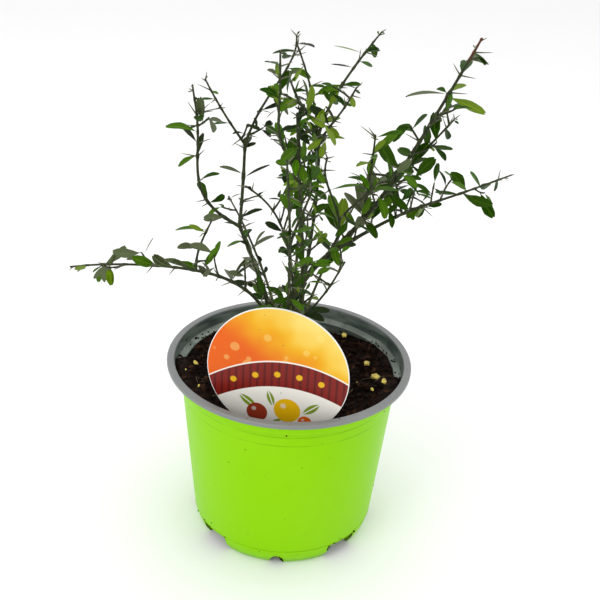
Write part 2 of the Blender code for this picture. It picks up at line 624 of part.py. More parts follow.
def leaf_body(leaf):
    """A thin blade, widest past its middle and blunt at the tip, flat below and ridged above."""
    way, face, length = leaf["way"], leaf["face"], leaf["length"]
    foot = leaf["foot"] - way * LEAF_SINK
    side = np.cross(face, way) * leaf["width"]
    wide = foot + way * LEAF_WIDEST * length
    end = foot + way * LEAF_BLUNT * length
    ridge = foot + way * LEAF_RIDGE * length + face * LEAF_THICKNESS * length
    points = [foot, wide + side / 2, wide - side / 2, end + side * LEAF_END, end - side * LEAF_END, ridge]
    faces = [(0, 5, 1), (0, 2, 5), (5, 3, 1), (5, 4, 3), (5, 2, 4), (0, 1, 2), (2, 1, 3), (2, 3, 4)]
    return points, faces


def thorn_body(thorn):
    """A three-sided spike with its base sunk in the twig."""
    side = across(thorn["way"], 0.0)
    other = np.cross(thorn["way"], side)
    points = [thorn["foot"] + thorn["way"] * thorn["length"]]
    for k in range(3):
        angle = 2 * math.pi * k / 3
        points.append(thorn["foot"] + (side * math.cos(angle) + other * math.sin(angle)) * THORN_RADIUS)
    return points, [(0, 1, 2), (0, 2, 3), (0, 3, 1), (1, 3, 2)]


def seat_on_trunk(place):
    """The plane a limb's first ring lies on, clear of the trunk's side or of its top."""
    if place[2] * MM > TRUNK_TOP.z:
        return np.array(UP), TRUNK_TOP.z + CLEAR
    angle = math.radians(place[0])
    normal = np.array([math.cos(angle), math.sin(angle), 0.0])
    return normal, float(normal @ trunk_root(place))


def seat_on_limb(parent, at, child):
    """The plane beside a parent limb, or past its end, that a child's first ring lies on."""
    axis = parent.axis(at)
    if at == 1.0:
        return axis, float(axis @ parent.point(1.0)) + CLEAR
    away = child.axis(0.0) - axis * (child.axis(0.0) @ axis)
    away = unit(away)
    reach = parent.radius(at) * SWELL[BOUGH_SIDES] + CLEAR
    return away, float(away @ parent.point(at)) + reach


def first_share(limb, seat):
    """Where a limb's own line crosses the plane of its seat."""
    shares = [k / 400 for k in range(401)]
    for t in shares:
        if seat[0] @ limb.point(t) >= seat[1]:
            return t
    return 0.0


def make_boughs(limbs, bark):
    """The bare lower run of each limb that leaves the trunk, one tapering body each."""
    taken = {}
    for name, share in BOUGHS.items():
        limb = limbs[name]
        place = LIMBS[name][1]
        points, faces = tube(limb, 0.0, share, BOUGH_SIDES, seat_on_trunk(place))
        add_object(f"bough_{name}", mesh_from(f"bough_{name}", points, faces), bark())
        taken[f"bough_{name}"] = limb.beads(0.0, share)
    return taken


def stem_starts(limbs):
    """For the first limb of each mass: the share it starts at and the plane its foot lies on."""
    starts = {}
    for node, names in MASSES.items():
        name = names[0]
        limb = limbs[name]
        parent, place = LIMBS[name][:2]
        if name in BOUGHS:
            length = limb.length(0.0, 1.0)
            starts[node] = (BOUGHS[name] + CLEAR / length * STEM_GAP, None)
        elif parent == "trunk":
            seat = seat_on_trunk(place)
            starts[node] = (0.0, seat)
        else:
            seat = seat_on_limb(limbs[parent], place, limb)
            starts[node] = (first_share(limb, seat), seat)
    return starts


def union_of(name, base, pieces, material):
    """Fuses the pieces of a mass into one closed body and drops loose scraps and hollows."""
    body = add_object(name, mesh_from(name, *base), material)
    group = bpy.data.collections.new(f"{name}_pieces")
    bpy.context.scene.collection.children.link(group)
    for k, piece in enumerate(pieces):
        group.objects.link(bpy.data.objects.new(f"{name}_{k}", mesh_from(f"{name}_{k}", *piece)))
    join = body.modifiers.new("join", "BOOLEAN")
    join.operation = "UNION"
    join.operand_type = "COLLECTION"
    join.collection = group
    join.solver = "EXACT"
    joined = bpy.data.meshes.new_from_object(body.evaluated_get(bpy.context.evaluated_depsgraph_get()))
    body.modifiers.clear()
    body.data = joined
    for piece in list(group.objects):
        bpy.data.objects.remove(piece)
    bpy.data.collections.remove(group)
    keep_main_shell(joined)
    return body


def keep_main_shell(mesh):
    """Keeps the largest shell of faces joined edge to edge."""
    build = bmesh.new()
    build.from_mesh(mesh)
    left = set(build.faces)
    shells = []
    while left:
        shell = []
        edge_on = [left.pop()]
        while edge_on:
            face = edge_on.pop()
            shell.append(face)
            for edge in face.edges:
                for other in edge.link_faces:
                    if other in left:
                        left.remove(other)
                        edge_on.append(other)
        shells.append(shell)
    shells.sort(key=len)
    loose = [face for shell in shells[:-1] for face in shell]
    bmesh.ops.delete(build, geom=loose, context="FACES")
    build.to_mesh(mesh)
    build.free()


def make_masses(limbs, taken, leaf_colour):
    """Grows each mass by its habit words, skipping what would leave its space or touch a limb."""
    starts = stem_starts(limbs)
    for node, names in MASSES.items():
        rows = [limbs[name].beads(starts[node][0] if name == names[0] else 0.0, 1.0) for name in names]
        taken[node] = np.concatenate(rows)
    for node, names in MASSES.items():
        others = np.concatenate([beads for other, beads in taken.items() if other != node])
        share, seat = starts[node]
        base = tube(limbs[names[0]], share, 1.0, TWIG_SIDES, seat)
        pieces = [tube(limbs[name], 0.0, 1.0, TWIG_SIDES) for name in names[1:]]
        for name in names:
            first, sizes, word = HABITS[name]
            count = len(word) // 2
            sprays = [[lone_leaf(limbs[name], *row)] for row in LONE_LEAVES.get(name, [])]
            for k in range(count):
                sprays.append(grow_node(limbs[name], k, count, word[2 * k:2 * k + 2], first, sizes))
            for items in sprays:
                dropped = False
                for item in items:
                    if item["kind"] != "twig" and item["length"] < SHORTEST[item["kind"]]:
                        continue
                    if item["on"] is not None and dropped:
                        continue
                    beads = item_beads(item)
                    if not in_space(beads) or not clear_of(beads, others):
                        dropped = dropped or item["kind"] == "twig"
                        continue
                    if item["kind"] == "twig":
                        pieces.append(tube(item["limb"], 0.0, TWIG_OVERRUN, TWIG_SIDES))
                    else:
                        pieces.append(leaf_body(item) if item["kind"] == "leaf" else thorn_body(item))
                    taken[node] = np.concatenate([taken[node], beads])
        union_of(node, base, pieces, leaf_colour())


def main():
    for item in list(bpy.data.objects):
        bpy.data.objects.remove(item)
    make_pot()
    make_soil()
    make_label("plant_label", material=principled("label", (0.8, 0.25, 0.03), 0.4))
    make_trunk(principled("bark", (0.12, 0.12, 0.045), 0.7))
    limbs = lay_limbs()
    taken = make_boughs(limbs, lambda: principled("bark", (0.12, 0.12, 0.045), 0.7))
    make_masses(limbs, taken, lambda: principled("leaf", (0.06, 0.14, 0.03), 0.45))


main()
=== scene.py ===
# A young finger lime in its 13 cm grow pot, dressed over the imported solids.
# Metres, +Z up, X to the right, Y to the back; the origin is on the ground under the pot.

import math
import random

import bmesh
import bpy
import numpy as np
from mathutils import Matrix, Vector, noise


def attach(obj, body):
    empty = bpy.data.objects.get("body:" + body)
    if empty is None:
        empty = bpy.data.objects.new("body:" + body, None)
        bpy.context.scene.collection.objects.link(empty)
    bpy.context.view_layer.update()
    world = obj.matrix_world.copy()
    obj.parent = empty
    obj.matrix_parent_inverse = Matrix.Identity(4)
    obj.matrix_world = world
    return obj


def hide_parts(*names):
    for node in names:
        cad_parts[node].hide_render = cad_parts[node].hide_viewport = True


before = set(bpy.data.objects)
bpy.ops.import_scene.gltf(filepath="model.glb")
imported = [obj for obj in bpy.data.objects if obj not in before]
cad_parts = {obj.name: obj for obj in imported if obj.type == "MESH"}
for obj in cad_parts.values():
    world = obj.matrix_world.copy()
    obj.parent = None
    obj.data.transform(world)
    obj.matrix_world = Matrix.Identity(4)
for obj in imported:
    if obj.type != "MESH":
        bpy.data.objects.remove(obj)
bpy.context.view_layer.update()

# Studio. A white sweep under soft light: one broad lamp from the front left, one overhead and a
# weak one from the right. The camera looks down at the pot from a little above the plant's top.
CAMERA_PLACE = Vector((0.00396, -0.45923, 0.37618))
CAMERA_PITCH = math.radians(27.6)
CAMERA_ROLL = math.radians(3.13)


def add_object(name, data, *finishes):
    item = bpy.data.objects.new(name, data)
    bpy.context.scene.collection.objects.link(item)
    for finish in finishes:
        data.materials.append(finish)
    return item


def mesh_of(build, name):
    """Ends a shape being built as a mesh, its faces looking outward."""
    bmesh.ops.recalc_face_normals(build, faces=build.faces)
    mesh = bpy.data.meshes.new(name)
    build.to_mesh(mesh)
    build.free()
    return mesh


ahead = Vector((0.0, math.cos(CAMERA_PITCH), -math.sin(CAMERA_PITCH)))
level = Vector((1.0, 0.0, 0.0))
above = level.cross(ahead)
camera_x = level * math.cos(CAMERA_ROLL) + above * math.sin(CAMERA_ROLL)
camera_y = above * math.cos(CAMERA_ROLL) - level * math.sin(CAMERA_ROLL)
camera = add_object("camera", bpy.data.cameras.new("camera"))
camera.data.lens = 60.0
camera.data.sensor_width = 36.0
camera.data.clip_start = 0.01
turn = Matrix((camera_x, camera_y, -ahead)).transposed().to_4x4()
camera.matrix_world = Matrix.Translation(CAMERA_PLACE) @ turn
bpy.context.scene.camera = camera
bpy.context.scene.view_settings.view_transform = "Standard"


def add_lamp(name, place, target, size, watts):
    lamp = add_object(name, bpy.data.lights.new(name, "AREA"))
    lamp.data.size = size
    lamp.data.energy = watts
    lamp.location = place
    lamp.rotation_euler = (Vector(target) - Vector(place)).to_track_quat("-Z", "Y").to_euler()


add_lamp("lamp_front_left", (-0.75, -0.85, 0.95), (0.0, 0.0, 0.1), 0.7, 4.5)
add_lamp("lamp_overhead", (0.1, 0.15, 1.25), (0.0, 0.0, 0.1), 0.9, 3.0)
add_lamp("lamp_right", (1.0, -0.5, 0.6), (0.0, 0.0, 0.12), 0.6, 0.8)
world = bpy.data.worlds.new("studio")
world.use_nodes = True
world.node_tree.nodes["Background"].inputs["Color"].default_value = (1.0, 1.0, 1.0, 1.0)
world.node_tree.nodes["Background"].inputs["Strength"].default_value = 1.0
bpy.context.scene.world = world

sweep = bmesh.new()
bmesh.ops.create_grid(sweep, x_segments=2, y_segments=2, size=40.0)
floor_paint = bpy.data.materials.new("floor_paint")
floor_paint.use_nodes = True
shader = floor_paint.node_tree.nodes["Principled BSDF"].inputs
shader["Base Color"].default_value = (0.9, 0.9, 0.9, 1.0)
shader["Roughness"].default_value = 0.9
floor = add_object("floor", mesh_of(sweep, "floor"), floor_paint)

# Pot. Pressed from two-tone polypropylene sheet: lime green outside, gray inside and over the
# turned rim. It has a stacking shoulder, faint mould lines, a foot ring with wide notches and small
# arches, and six drains in its raised floor.
MM = 0.001
RIM_RADIUS = 65 * MM
RIM_WIDTH = 4 * MM
RIM_DEPTH = 2.7 * MM
POT_HEIGHT = 102 * MM
SHOULDER_TOP_RADIUS = 61.6 * MM
SHOULDER_LOW_RADIUS = 61.2 * MM
SHOULDER_DEPTH = 7.2 * MM
SHOULDER_WALL = 1 * MM
WALL_TOP_RADIUS = 57.6 * MM
LEDGE = POT_HEIGHT - SHOULDER_DEPTH
STEP = 0.5 * MM
FOOT_LINE_RADIUS = 50.2 * MM
FOOT_LINE_HEIGHT = 10.5 * MM
FOOT_KNEE_RADIUS = 48.8 * MM
FOOT_KNEE_HEIGHT = 5 * MM
FOOT_RADIUS = 45.7 * MM
WALL = 1.3 * MM
FOOT_RING_WIDTH = 3.2 * MM
FOOT_RING_HEIGHT = 10.5 * MM
FLOOR_BEND = 2 * MM
POT_SIDES = 160
WIDE_NOTCH_HALF = FOOT_RADIUS * math.tan(math.radians(22.5) / 2)
WIDE_NOTCH_PLACES = [math.radians(a) for a in (-137, -47, 43, 133)]
SMALL_NOTCH_RADIUS = 3.3 * MM
SMALL_NOTCH_HEIGHT = 6.6 * MM
SMALL_NOTCH_PLACES = [math.radians(a) for a in (-92, -2, 88, 178)]
NOTCH_HEIGHT = 10 * MM
DRAIN_RADIUS = 4 * MM
DRAIN_RING_RADIUS = 30 * MM
DRAINS = 6
MOULD_LINE = 0.22 * MM
MOULD_LINE_LOW = 84 * MM
MOULD_LINE_HIGH = 89.4 * MM
WALL_TOP = LEDGE - SHOULDER_WALL - STEP
MOULD_LINE_HEIGHTS = (FOOT_LINE_HEIGHT, WALL_TOP, MOULD_LINE_HIGH, MOULD_LINE_LOW)
LIME_GREEN = (0.25, 0.60, 0.001, 1.0)
LIME_WORN = (0.36, 0.66, 0.04, 1.0)
LIME_LINE_SHADE = (0.085, 0.26, 0.001, 1.0)
LIME_SHADED_STAINED = (0.16, 0.34, 0.012, 1.0)
SHEET_GRAY = (0.185, 0.195, 0.19, 1.0)
SHEET_GRAY_PALE = (0.27, 0.275, 0.265, 1.0)
WALL_GRAY_SHADED = (0.050, 0.072, 0.060, 1.0)
WALL_GRAY_PALE = (0.15, 0.185, 0.155, 1.0)
LEDGE_GRAY_LIT = (0.27, 0.31, 0.265, 1.0)
DUST_BROWN = (0.10, 0.075, 0.055, 1.0)
STAIN_BROWN = (0.02, 0.016, 0.009, 1.0)
GREEN, GRAY, STAINED_AND_SHADED = 0, 1, 2


def polar(out, a):
    """The place at a distance from the pot's axis and a turn round it."""
    return out * math.cos(a), out * math.sin(a)


def rounded(corners, steps=4):
    """A turned profile from (radius, height, rounding, finish) corners, as rows without the rounding."""
    rows = []
    for k, (r, z, rounding, finish) in enumerate(corners):
        if rounding == 0.0 or k in (0, len(corners) - 1):
            rows.append((r, z, finish))
            continue
        here = Vector((r, z))
        before = Vector(corners[k - 1][:2]) - here
        after = Vector(corners[k + 1][:2]) - here
        reach = min(rounding, 0.45 * before.length, 0.45 * after.length)
        start = here + before.normalized() * reach
        end = here + after.normalized() * reach
        for j in range(steps + 1):
            t = j / steps
            spot = start * (1 - t) ** 2 + here * (2 * t * (1 - t)) + end * t ** 2
            rows.append((spot.x, spot.y, finish))
    return rows


def turned(name, rows, sides):
    """Turns (radius, height, finish) rows round the axis; a row's finish is for the band after it."""
    build = bmesh.new()
    turns = [2 * math.pi * (k + 0.5) / sides for k in range(sides)]
    rings = []
    for r, z, _ in rows:
        if r < 1e-6:
            rings.append([build.verts.new((0.0, 0.0, z))] * sides)
        else:
            rings.append([build.verts.new((*polar(r, a), z)) for a in turns])
    for (low, high), (_, _, finish) in zip(zip(rings, rings[1:]), rows):
        for k in range(sides):
            after = (k + 1) % sides
            corners = dict.fromkeys((low[k], low[after], high[after], high[k]))
            build.faces.new(list(corners)).material_index = finish
    return mesh_of(build, name)


def band(build, low, high):
    """Joins two rings of points with a band of faces."""
    for k in range(len(low)):
        after = (k + 1) % len(low)
        build.faces.new((low[k], high[k], high[after], low[after]))


def cut_away(item, cutters):
    """Cuts the cutters' shapes out of an item for good."""
    for cutter in cutters:
        cut = item.modifiers.new("cut", "BOOLEAN")
        cut.operation = "DIFFERENCE"
        cut.solver = "EXACT"
        cut.object = cutter
    graph = bpy.context.evaluated_depsgraph_get()
    cut_mesh = bpy.data.meshes.new_from_object(item.evaluated_get(graph))
    item.modifiers.clear()
    item.data = cut_mesh
    for cutter in cutters:
        bpy.data.objects.remove(cutter)


def smooth_over(mesh, degrees):
    mesh.shade_smooth()
    mesh.set_sharp_from_angle(angle=math.radians(degrees))


def add_cutter(build):
    """A shape to cut away, which leaves faces in the darker stained finish: painted shade with soil stains.
    """
    for face in build.faces:
        face.material_index = STAINED_AND_SHADED
    return add_object("cutter", mesh_of(build, "cutter"))


def notch_cutter(outline, place):
    """An outline of (sideways, height) points pushed out through the foot ring at its place."""
    build = bmesh.new()
    near, far = (
        [build.verts.new((x, -out, z)) for x, z in outline]
        for out in (FOOT_RADIUS - 2 * FOOT_RING_WIDTH, FOOT_KNEE_RADIUS + FOOT_RING_WIDTH)
    )
    build.faces.new(near)
    build.faces.new(far[::-1])
    band(build, near, far)
    cutter = add_cutter(build)
    cutter.rotation_euler.z = place
    return cutter


def arch(half, height, corner, steps=5):
    """An upright notch outline with rounded upper corners, open at the ground."""
    outline = [(-half, -MM), (half, -MM)]
    for side in (1, -1):
        turns = [math.pi / 2 * j / steps for j in range(steps + 1)][::side]
        for a in turns:
            x, z = polar(corner, a)
            outline.append((side * (half - corner + x), height - corner + z))
    return outline


floor_top = FOOT_RING_HEIGHT + WALL
wall_slope = (WALL_TOP_RADIUS - FOOT_LINE_RADIUS) / (WALL_TOP - FOOT_LINE_HEIGHT)


def outside_at(height):
    return FOOT_LINE_RADIUS + wall_slope * (height - FOOT_LINE_HEIGHT)


pot_corners = [
    (0.0, FOOT_RING_HEIGHT, 0.0, STAINED_AND_SHADED),
    (FOOT_RADIUS - FOOT_RING_WIDTH, FOOT_RING_HEIGHT, 0.4 * MM, STAINED_AND_SHADED),
    (FOOT_RADIUS - FOOT_RING_WIDTH, 0.0, 0.5 * MM, GREEN),
    (FOOT_RADIUS, 0.0, 0.4 * MM, GREEN),
    (FOOT_KNEE_RADIUS, FOOT_KNEE_HEIGHT, 1.2 * MM, GREEN),
    (FOOT_LINE_RADIUS, FOOT_LINE_HEIGHT - 0.4 * MM, 0.15 * MM, GREEN),
    (FOOT_LINE_RADIUS - MOULD_LINE, FOOT_LINE_HEIGHT, 0.1 * MM, GREEN),
    (outside_at(FOOT_LINE_HEIGHT + 0.6 * MM), FOOT_LINE_HEIGHT + 0.6 * MM, 0.2 * MM, GREEN),
    (outside_at(MOULD_LINE_LOW), MOULD_LINE_LOW, 0.0, GREEN),
    (WALL_TOP_RADIUS, WALL_TOP, 0.6 * MM, GREEN),
    (SHOULDER_LOW_RADIUS, LEDGE - SHOULDER_WALL, 0.7 * MM, GREEN),
    (SHOULDER_TOP_RADIUS, POT_HEIGHT - RIM_DEPTH, 0.4 * MM, GREEN),
    (RIM_RADIUS - 0.9 * MM, POT_HEIGHT - RIM_DEPTH, 0.2 * MM, GRAY),
    (RIM_RADIUS - 0.1 * MM, POT_HEIGHT - RIM_DEPTH + 0.5 * MM, 0.4 * MM, GRAY),
    (RIM_RADIUS, POT_HEIGHT - 0.6 * MM, 0.4 * MM, GRAY),
    (RIM_RADIUS - 0.6 * MM, POT_HEIGHT, 0.5 * MM, GRAY),
    (RIM_RADIUS - RIM_WIDTH + 0.1 * MM, POT_HEIGHT, 0.5 * MM, GRAY),
    (SHOULDER_TOP_RADIUS - SHOULDER_WALL, POT_HEIGHT - RIM_DEPTH, 0.5 * MM, GRAY),
    (SHOULDER_LOW_RADIUS - SHOULDER_WALL, LEDGE, 0.5 * MM, GRAY),
    (outside_at(LEDGE - STEP) - WALL, LEDGE - STEP, 0.6 * MM, GRAY),
    (outside_at(floor_top + FLOOR_BEND) - WALL, floor_top + FLOOR_BEND, 0.5 * MM, GRAY),
    (FOOT_LINE_RADIUS - WALL - FLOOR_BEND / 3, floor_top, 0.5 * MM, GRAY),
    (0.0, floor_top, 0.0, GRAY),
]


def shader_node(tree, kind, sockets=None, **settings):
    """Adds a node whose sockets get values or signals; returns its outputs by number and by name."""
    node = tree.nodes.new(kind)
    for name, value in settings.items():
        setattr(node, name, value)
    for name, value in (sockets or {}).items():
        if isinstance(value, Signal):
            tree.links.new(value.socket, node.inputs[name])
        else:
            node.inputs[name].default_value = value
    return {key: Signal(out) for k, out in enumerate(node.outputs) for key in (k, out.name)}


def math_step(operation, last=False):
    """A method that adds a math node for a signal and other values; last puts it after them."""
    def step(signal, *others):
        values = (*others, signal) if last else (signal, *others)
        sockets = dict(enumerate(values))
        return shader_node(signal.tree, "ShaderNodeMath", sockets, operation=operation)[0]
    return step


class Signal:
    """One output in a shader; sums, products and roots of signals add the nodes for them."""

    __add__ = math_step("ADD")
    __sub__ = math_step("SUBTRACT")
    __rsub__ = math_step("SUBTRACT", last=True)
    __mul__ = math_step("MULTIPLY")
    __truediv__ = math_step("DIVIDE")
    __rtruediv__ = math_step("DIVIDE", last=True)
    __abs__ = math_step("ABSOLUTE")
    root = math_step("SQRT")
    sine = math_step("SINE")
    larger = math_step("MAXIMUM")

    def __init__(self, socket):
        self.socket = socket
        self.tree = socket.id_data


def fade(signal, start, end):
    """0 before start and 1 after end, with a smooth rise between; end may be below start."""
    sockets = {"Value": signal, "From Min": start, "From Max": end}
    kind = "SMOOTHSTEP"
    return shader_node(signal.tree, "ShaderNodeMapRange", sockets, interpolation_type=kind)["Result"]


def mix(share, low, high):
    """One colour where share is 0, the other where it is 1."""
    return shader_node(share.tree, "ShaderNodeMix", {0: share, 6: low, 7: high}, data_type="RGBA")[2]


def layered(tone, *layers):
    """Lays (mask, colour) layers over a tone, one after another."""
    for mask, colour in layers:
        tone = mix(mask, tone, colour)
    return tone


def fog(place, scale, detail=2.0, distortion=0.0):
    sockets = {"Vector": place, "Scale": scale, "Detail": detail, "Distortion": distortion}
    return shader_node(place.tree, "ShaderNodeTexNoise", sockets)["Fac"]


def cells(place, scale, randomness=1.0):
    sockets = {"Vector": place, "Scale": scale, "Randomness": randomness}
    return shader_node(place.tree, "ShaderNodeTexVoronoi", sockets)


def stretched(place, scale, rotation=(0.0, 0.0, 0.0)):
    sockets = {"Vector": place, "Rotation": rotation, "Scale": scale}
    return shader_node(place.tree, "ShaderNodeMapping", sockets)["Vector"]


def axes_of(place):
    return shader_node(place.tree, "ShaderNodeSeparateXYZ", {"Vector": place})


def reach_of(x, y):
    return (x * x + y * y).root()


def new_group(name, inputs):
    """A node group with a place and numbers going in; returns its tree and its inputs."""
    tree = bpy.data.node_groups.new(name, "ShaderNodeTree")
    for label, value in inputs.items():
        kind = "NodeSocketVector" if value is None else "NodeSocketFloat"
        socket = tree.interface.new_socket(label, in_out="INPUT", socket_type=kind)
        if value is not None:
            socket.default_value = value
    return tree, shader_node(tree, "NodeGroupInput")


def end_group(tree, outputs):
    """Gives a node group its outputs, all numbers."""
    for label in outputs:
        tree.interface.new_socket(label, in_out="OUTPUT", socket_type="NodeSocketFloat")
    shader_node(tree, "NodeGroupOutput", outputs)


def place_group(group, sockets):
    return shader_node(sockets["Place"].tree, "ShaderNodeGroup", sockets, node_tree=group)


def bump(height, depth, strength=1.0):
    sockets = {"Height": height, "Distance": depth, "Strength": strength}
    return shader_node(height.tree, "ShaderNodeBump", sockets)["Normal"]


def new_finish(name, roughness, specular=0.5):
    """A material; returns it, the place on its object and the inputs of its shader."""
    finish = bpy.data.materials.new(name)
    finish.use_nodes = True
    shader = finish.node_tree.nodes["Principled BSDF"].inputs
    shader["Roughness"].default_value = roughness
    shader["Specular IOR Level"].default_value = specular
    return finish, shader_node(finish.node_tree, "ShaderNodeTexCoord")["Object"], shader


def paint(shader, tone, relief=None, roughness=None):
    """Joins a colour and, where they vary, the bump and the roughness to a shader."""
    for name, signal in (("Base Color", tone), ("Normal", relief), ("Roughness", roughness)):
        if signal:
            signal.tree.links.new(signal.socket, shader[name])


# Pressed sheet: a very fine grain, fine drag scratches and broad handling marks.
sheet_skin, sheet = new_group("sheet_skin", {"Place": None, "Grain Size": 0.5, "Scratch Share": 0.5})
drag = fog(stretched(sheet["Place"], (90.0, 90.0, 2400.0), (0.1, 0.2, 0.0)), 1.0, 1.0, 0.4)
drag_patch = fade(fog(sheet["Place"], 38.0), 0.5, 0.72)
end_group(sheet_skin, {
    "Grain": fog(sheet["Place"], 1000.0 / sheet["Grain Size"]),
    "Scratches": fade(drag, 0.66, 0.74) * drag_patch * sheet["Scratch Share"],
    "Handling": fade(fog(sheet["Place"], 22.0, 3.0), 0.3, 0.75),
})

# Soil dust: fine specks and a thin film that thickens towards a height.
DUST_INPUTS = {"Place": None, "Thick At": 0.088, "Gone At": 0.1, "Amount": 0.5}
soil_dust, dust = new_group("soil_dust", DUST_INPUTS)
dust_ramp = fade(axes_of(dust["Place"])["Z"], dust["Gone At"], dust["Thick At"])
dust_cloud = fade(fog(dust["Place"], 260.0, 4.0), 0.35, 0.7)
speck_cells = cells(dust["Place"], 420.0)
speck_luck = fade(axes_of(speck_cells["Color"])["X"], 0.93, 0.95)
end_group(soil_dust, {
    "Film": dust_ramp * dust_cloud * dust["Amount"],
    "Specks": fade(speck_cells["Distance"], 0.2, 0.12) * speck_luck * dust["Amount"],
})


def dusted(tone, place, thick_at, gone_at, amount):
    """A tone under soil dust; returns it and the film on it."""
    sockets = {"Place": place, "Thick At": thick_at, "Gone At": gone_at, "Amount": amount}
    dust = place_group(soil_dust, sockets)
    tone = layered(tone, (dust["Film"], DUST_BROWN), (dust["Specks"], DUST_BROWN))
    return tone, dust["Film"]


lime_sheet, place, shader = new_finish("lime_sheet", 0.4, 0.14)
shader["Specular Tint"].default_value = (0.35, 1.0, 0.02, 1.0)
skin = place_group(sheet_skin, {"Place": place, "Grain Size": 0.6, "Scratch Share": 0.5})
tone = mix(skin["Handling"] * 0.12, LIME_GREEN, LIME_WORN)
height_on = axes_of(place)["Z"]
# Thin dark green lines painted along the mould lines and the shoulder step: painted shade of their grooves
# and edges.
line_shade_depth = fade(fog(place, 55.0), 0.25, 0.65)
for line_height in MOULD_LINE_HEIGHTS:
    near_line = fade(abs(height_on - line_height), 0.32 * MM, 0.1 * MM)
    tone = mix(near_line * (line_shade_depth * 0.6), tone, LIME_LINE_SHADE)
tone = mix(skin["Scratches"] * 0.5, tone, LIME_WORN)
tone, _ = dusted(tone, place, 0.0, 0.006, 0.3)
rub = skin["Handling"] * 0.12 + skin["Scratches"] * 0.15
paint(shader, tone, bump(skin["Grain"] + skin["Scratches"], 0.03 * MM, 0.6), rub + 0.34)

# Underside, inside of the foot ring, notch and drain faces: a darker green that is painted shade, with real
# brown soil stains over it.
stained_shaded_sheet, place, shader = new_finish("stained_shaded_sheet", 0.7, 0.1)
stain = fade(fog(place, 180.0, 4.0), 0.3, 0.7)
paint(shader, mix(stain, LIME_SHADED_STAINED, STAIN_BROWN), bump(stain, 0.1 * MM, 0.5))

gray_sheet, place, shader = new_finish("gray_sheet", 0.45, 0.4)
skin = place_group(sheet_skin, {"Place": place, "Grain Size": 0.5, "Scratch Share": 0.8})
rim_tone = mix(skin["Handling"] * 0.35, SHEET_GRAY, SHEET_GRAY_PALE)
axes = axes_of(place)
smear = fade(fog(stretched(place, (60.0, 60.0, 260.0)), 1.0, 4.0, 0.6), 0.36, 0.66)
# A paler band painted along the inner ledge where the shoulder steps in: painted highlight on its up-facing
# step.
off_ledge = abs(axes["Z"] - (LEDGE - 0.5 * STEP))
ledge_highlight = fade(off_ledge, 0.7 * MM, 0.4 * MM) * (smear * 0.5 + 0.4)
# The inner wall is painted much darker than the rim of the same gray sheet: painted shade inside the pot,
# with pale smears over it.
shaded_wall_tone = layered(WALL_GRAY_SHADED, (smear, WALL_GRAY_PALE), (ledge_highlight, LEDGE_GRAY_LIT))
inner_rim = RIM_RADIUS - RIM_WIDTH
on_rim = fade(reach_of(axes["X"], axes["Y"]), inner_rim - 0.2 * MM, inner_rim + 0.1 * MM)
tone = layered(shaded_wall_tone, (on_rim, rim_tone), (skin["Scratches"], SHEET_GRAY_PALE))
tone, film = dusted(tone, place, 0.088, 0.0985, 0.6)
paint(shader, tone, bump(skin["Grain"] + skin["Scratches"], 0.03 * MM, 0.6), film * 0.4 + 0.4)

pot_mesh = turned("grow_pot", rounded(pot_corners), POT_SIDES)
pot = add_object("grow_pot", pot_mesh, lime_sheet, gray_sheet, stained_shaded_sheet)
wide_arch = arch(WIDE_NOTCH_HALF, NOTCH_HEIGHT, 1.5 * MM)
round_arch = arch(SMALL_NOTCH_RADIUS, SMALL_NOTCH_RADIUS, 0.98 * SMALL_NOTCH_RADIUS, 8)
small_arch = [(x, max(z * SMALL_NOTCH_HEIGHT / SMALL_NOTCH_RADIUS, -MM)) for x, z in round_arch]
cutters = [notch_cutter(wide_arch, place) for place in WIDE_NOTCH_PLACES]
cutters += [notch_cutter(small_arch, place) for place in SMALL_NOTCH_PLACES]
for k in range(DRAINS):
    build = bmesh.new()
    sizes = {"segments": 32, "radius1": DRAIN_RADIUS, "radius2": DRAIN_RADIUS, "depth": 4 * WALL}
    bmesh.ops.create_cone(build, cap_ends=True, **sizes)
    cutters.append(add_cutter(build))
    cutters[-1].location = (*polar(DRAIN_RING_RADIUS, 2 * math.pi * k / DRAINS), FOOT_RING_HEIGHT)
cut_away(pot, cutters)
smooth_over(pot.data, 28)
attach(pot, "root")
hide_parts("pot")

# Potting soil. A dark peat and bark mix, loose and damp, 14 mm below the rim and flat round the
# trunk, heaped at both sides up to the ledge. Crumbs, pale chips and fine roots lie on it.
CLEAR = 0.3 * MM
SOIL_HEIGHT = 88 * MM
SOIL_BRINK = outside_at(SOIL_HEIGHT) - WALL - CLEAR
SOIL_FLAT_RADIUS = 9 * MM
SOIL_RELIEF = 1.7 * MM
FLAT_EDGE = 6 * MM
BRINK_EDGE = 3 * MM
SOIL_BANK = 3.0 * MM
BANK_START = 26 * MM
BANK_RUN = 30 * MM
BANK_TOP = POT_HEIGHT - 3.5 * MM

# Each side bank's height at the back and at the front, and where it turns from one to the other.
BANK_LEFT = (4.4 * MM, 11.5 * MM, 0.02)
BANK_RIGHT = (4.6 * MM, 10.0 * MM, -0.14)
WALL_LEAN = (SHOULDER_TOP_RADIUS - SHOULDER_LOW_RADIUS) / (POT_HEIGHT - RIM_DEPTH - LEDGE)
WALL_INSIDE = SHOULDER_LOW_RADIUS - SHOULDER_WALL
SOIL_RINGS, SOIL_SPOKES = 74, 190
SOIL_DARK = (0.0045, 0.0022, 0.0012, 1.0)
SOIL_BROWN = (0.015, 0.0055, 0.0028, 1.0)
SOIL_RUST = (0.095, 0.040, 0.018, 1.0)
CHIP_STRAW = (0.70, 0.54, 0.10, 1.0)
LABEL_RADIUS = 35.5 * MM
LABEL_THICKNESS = 0.9 * MM
LABEL_CENTRE = Vector((-5 * MM, -45 * MM, 119 * MM))
LABEL_YAW = math.radians(-11)
STAKE_WIDTH = 14 * MM


def held(share):
    """A share kept between 0 and 1."""
    return min(1.0, max(0.0, share))


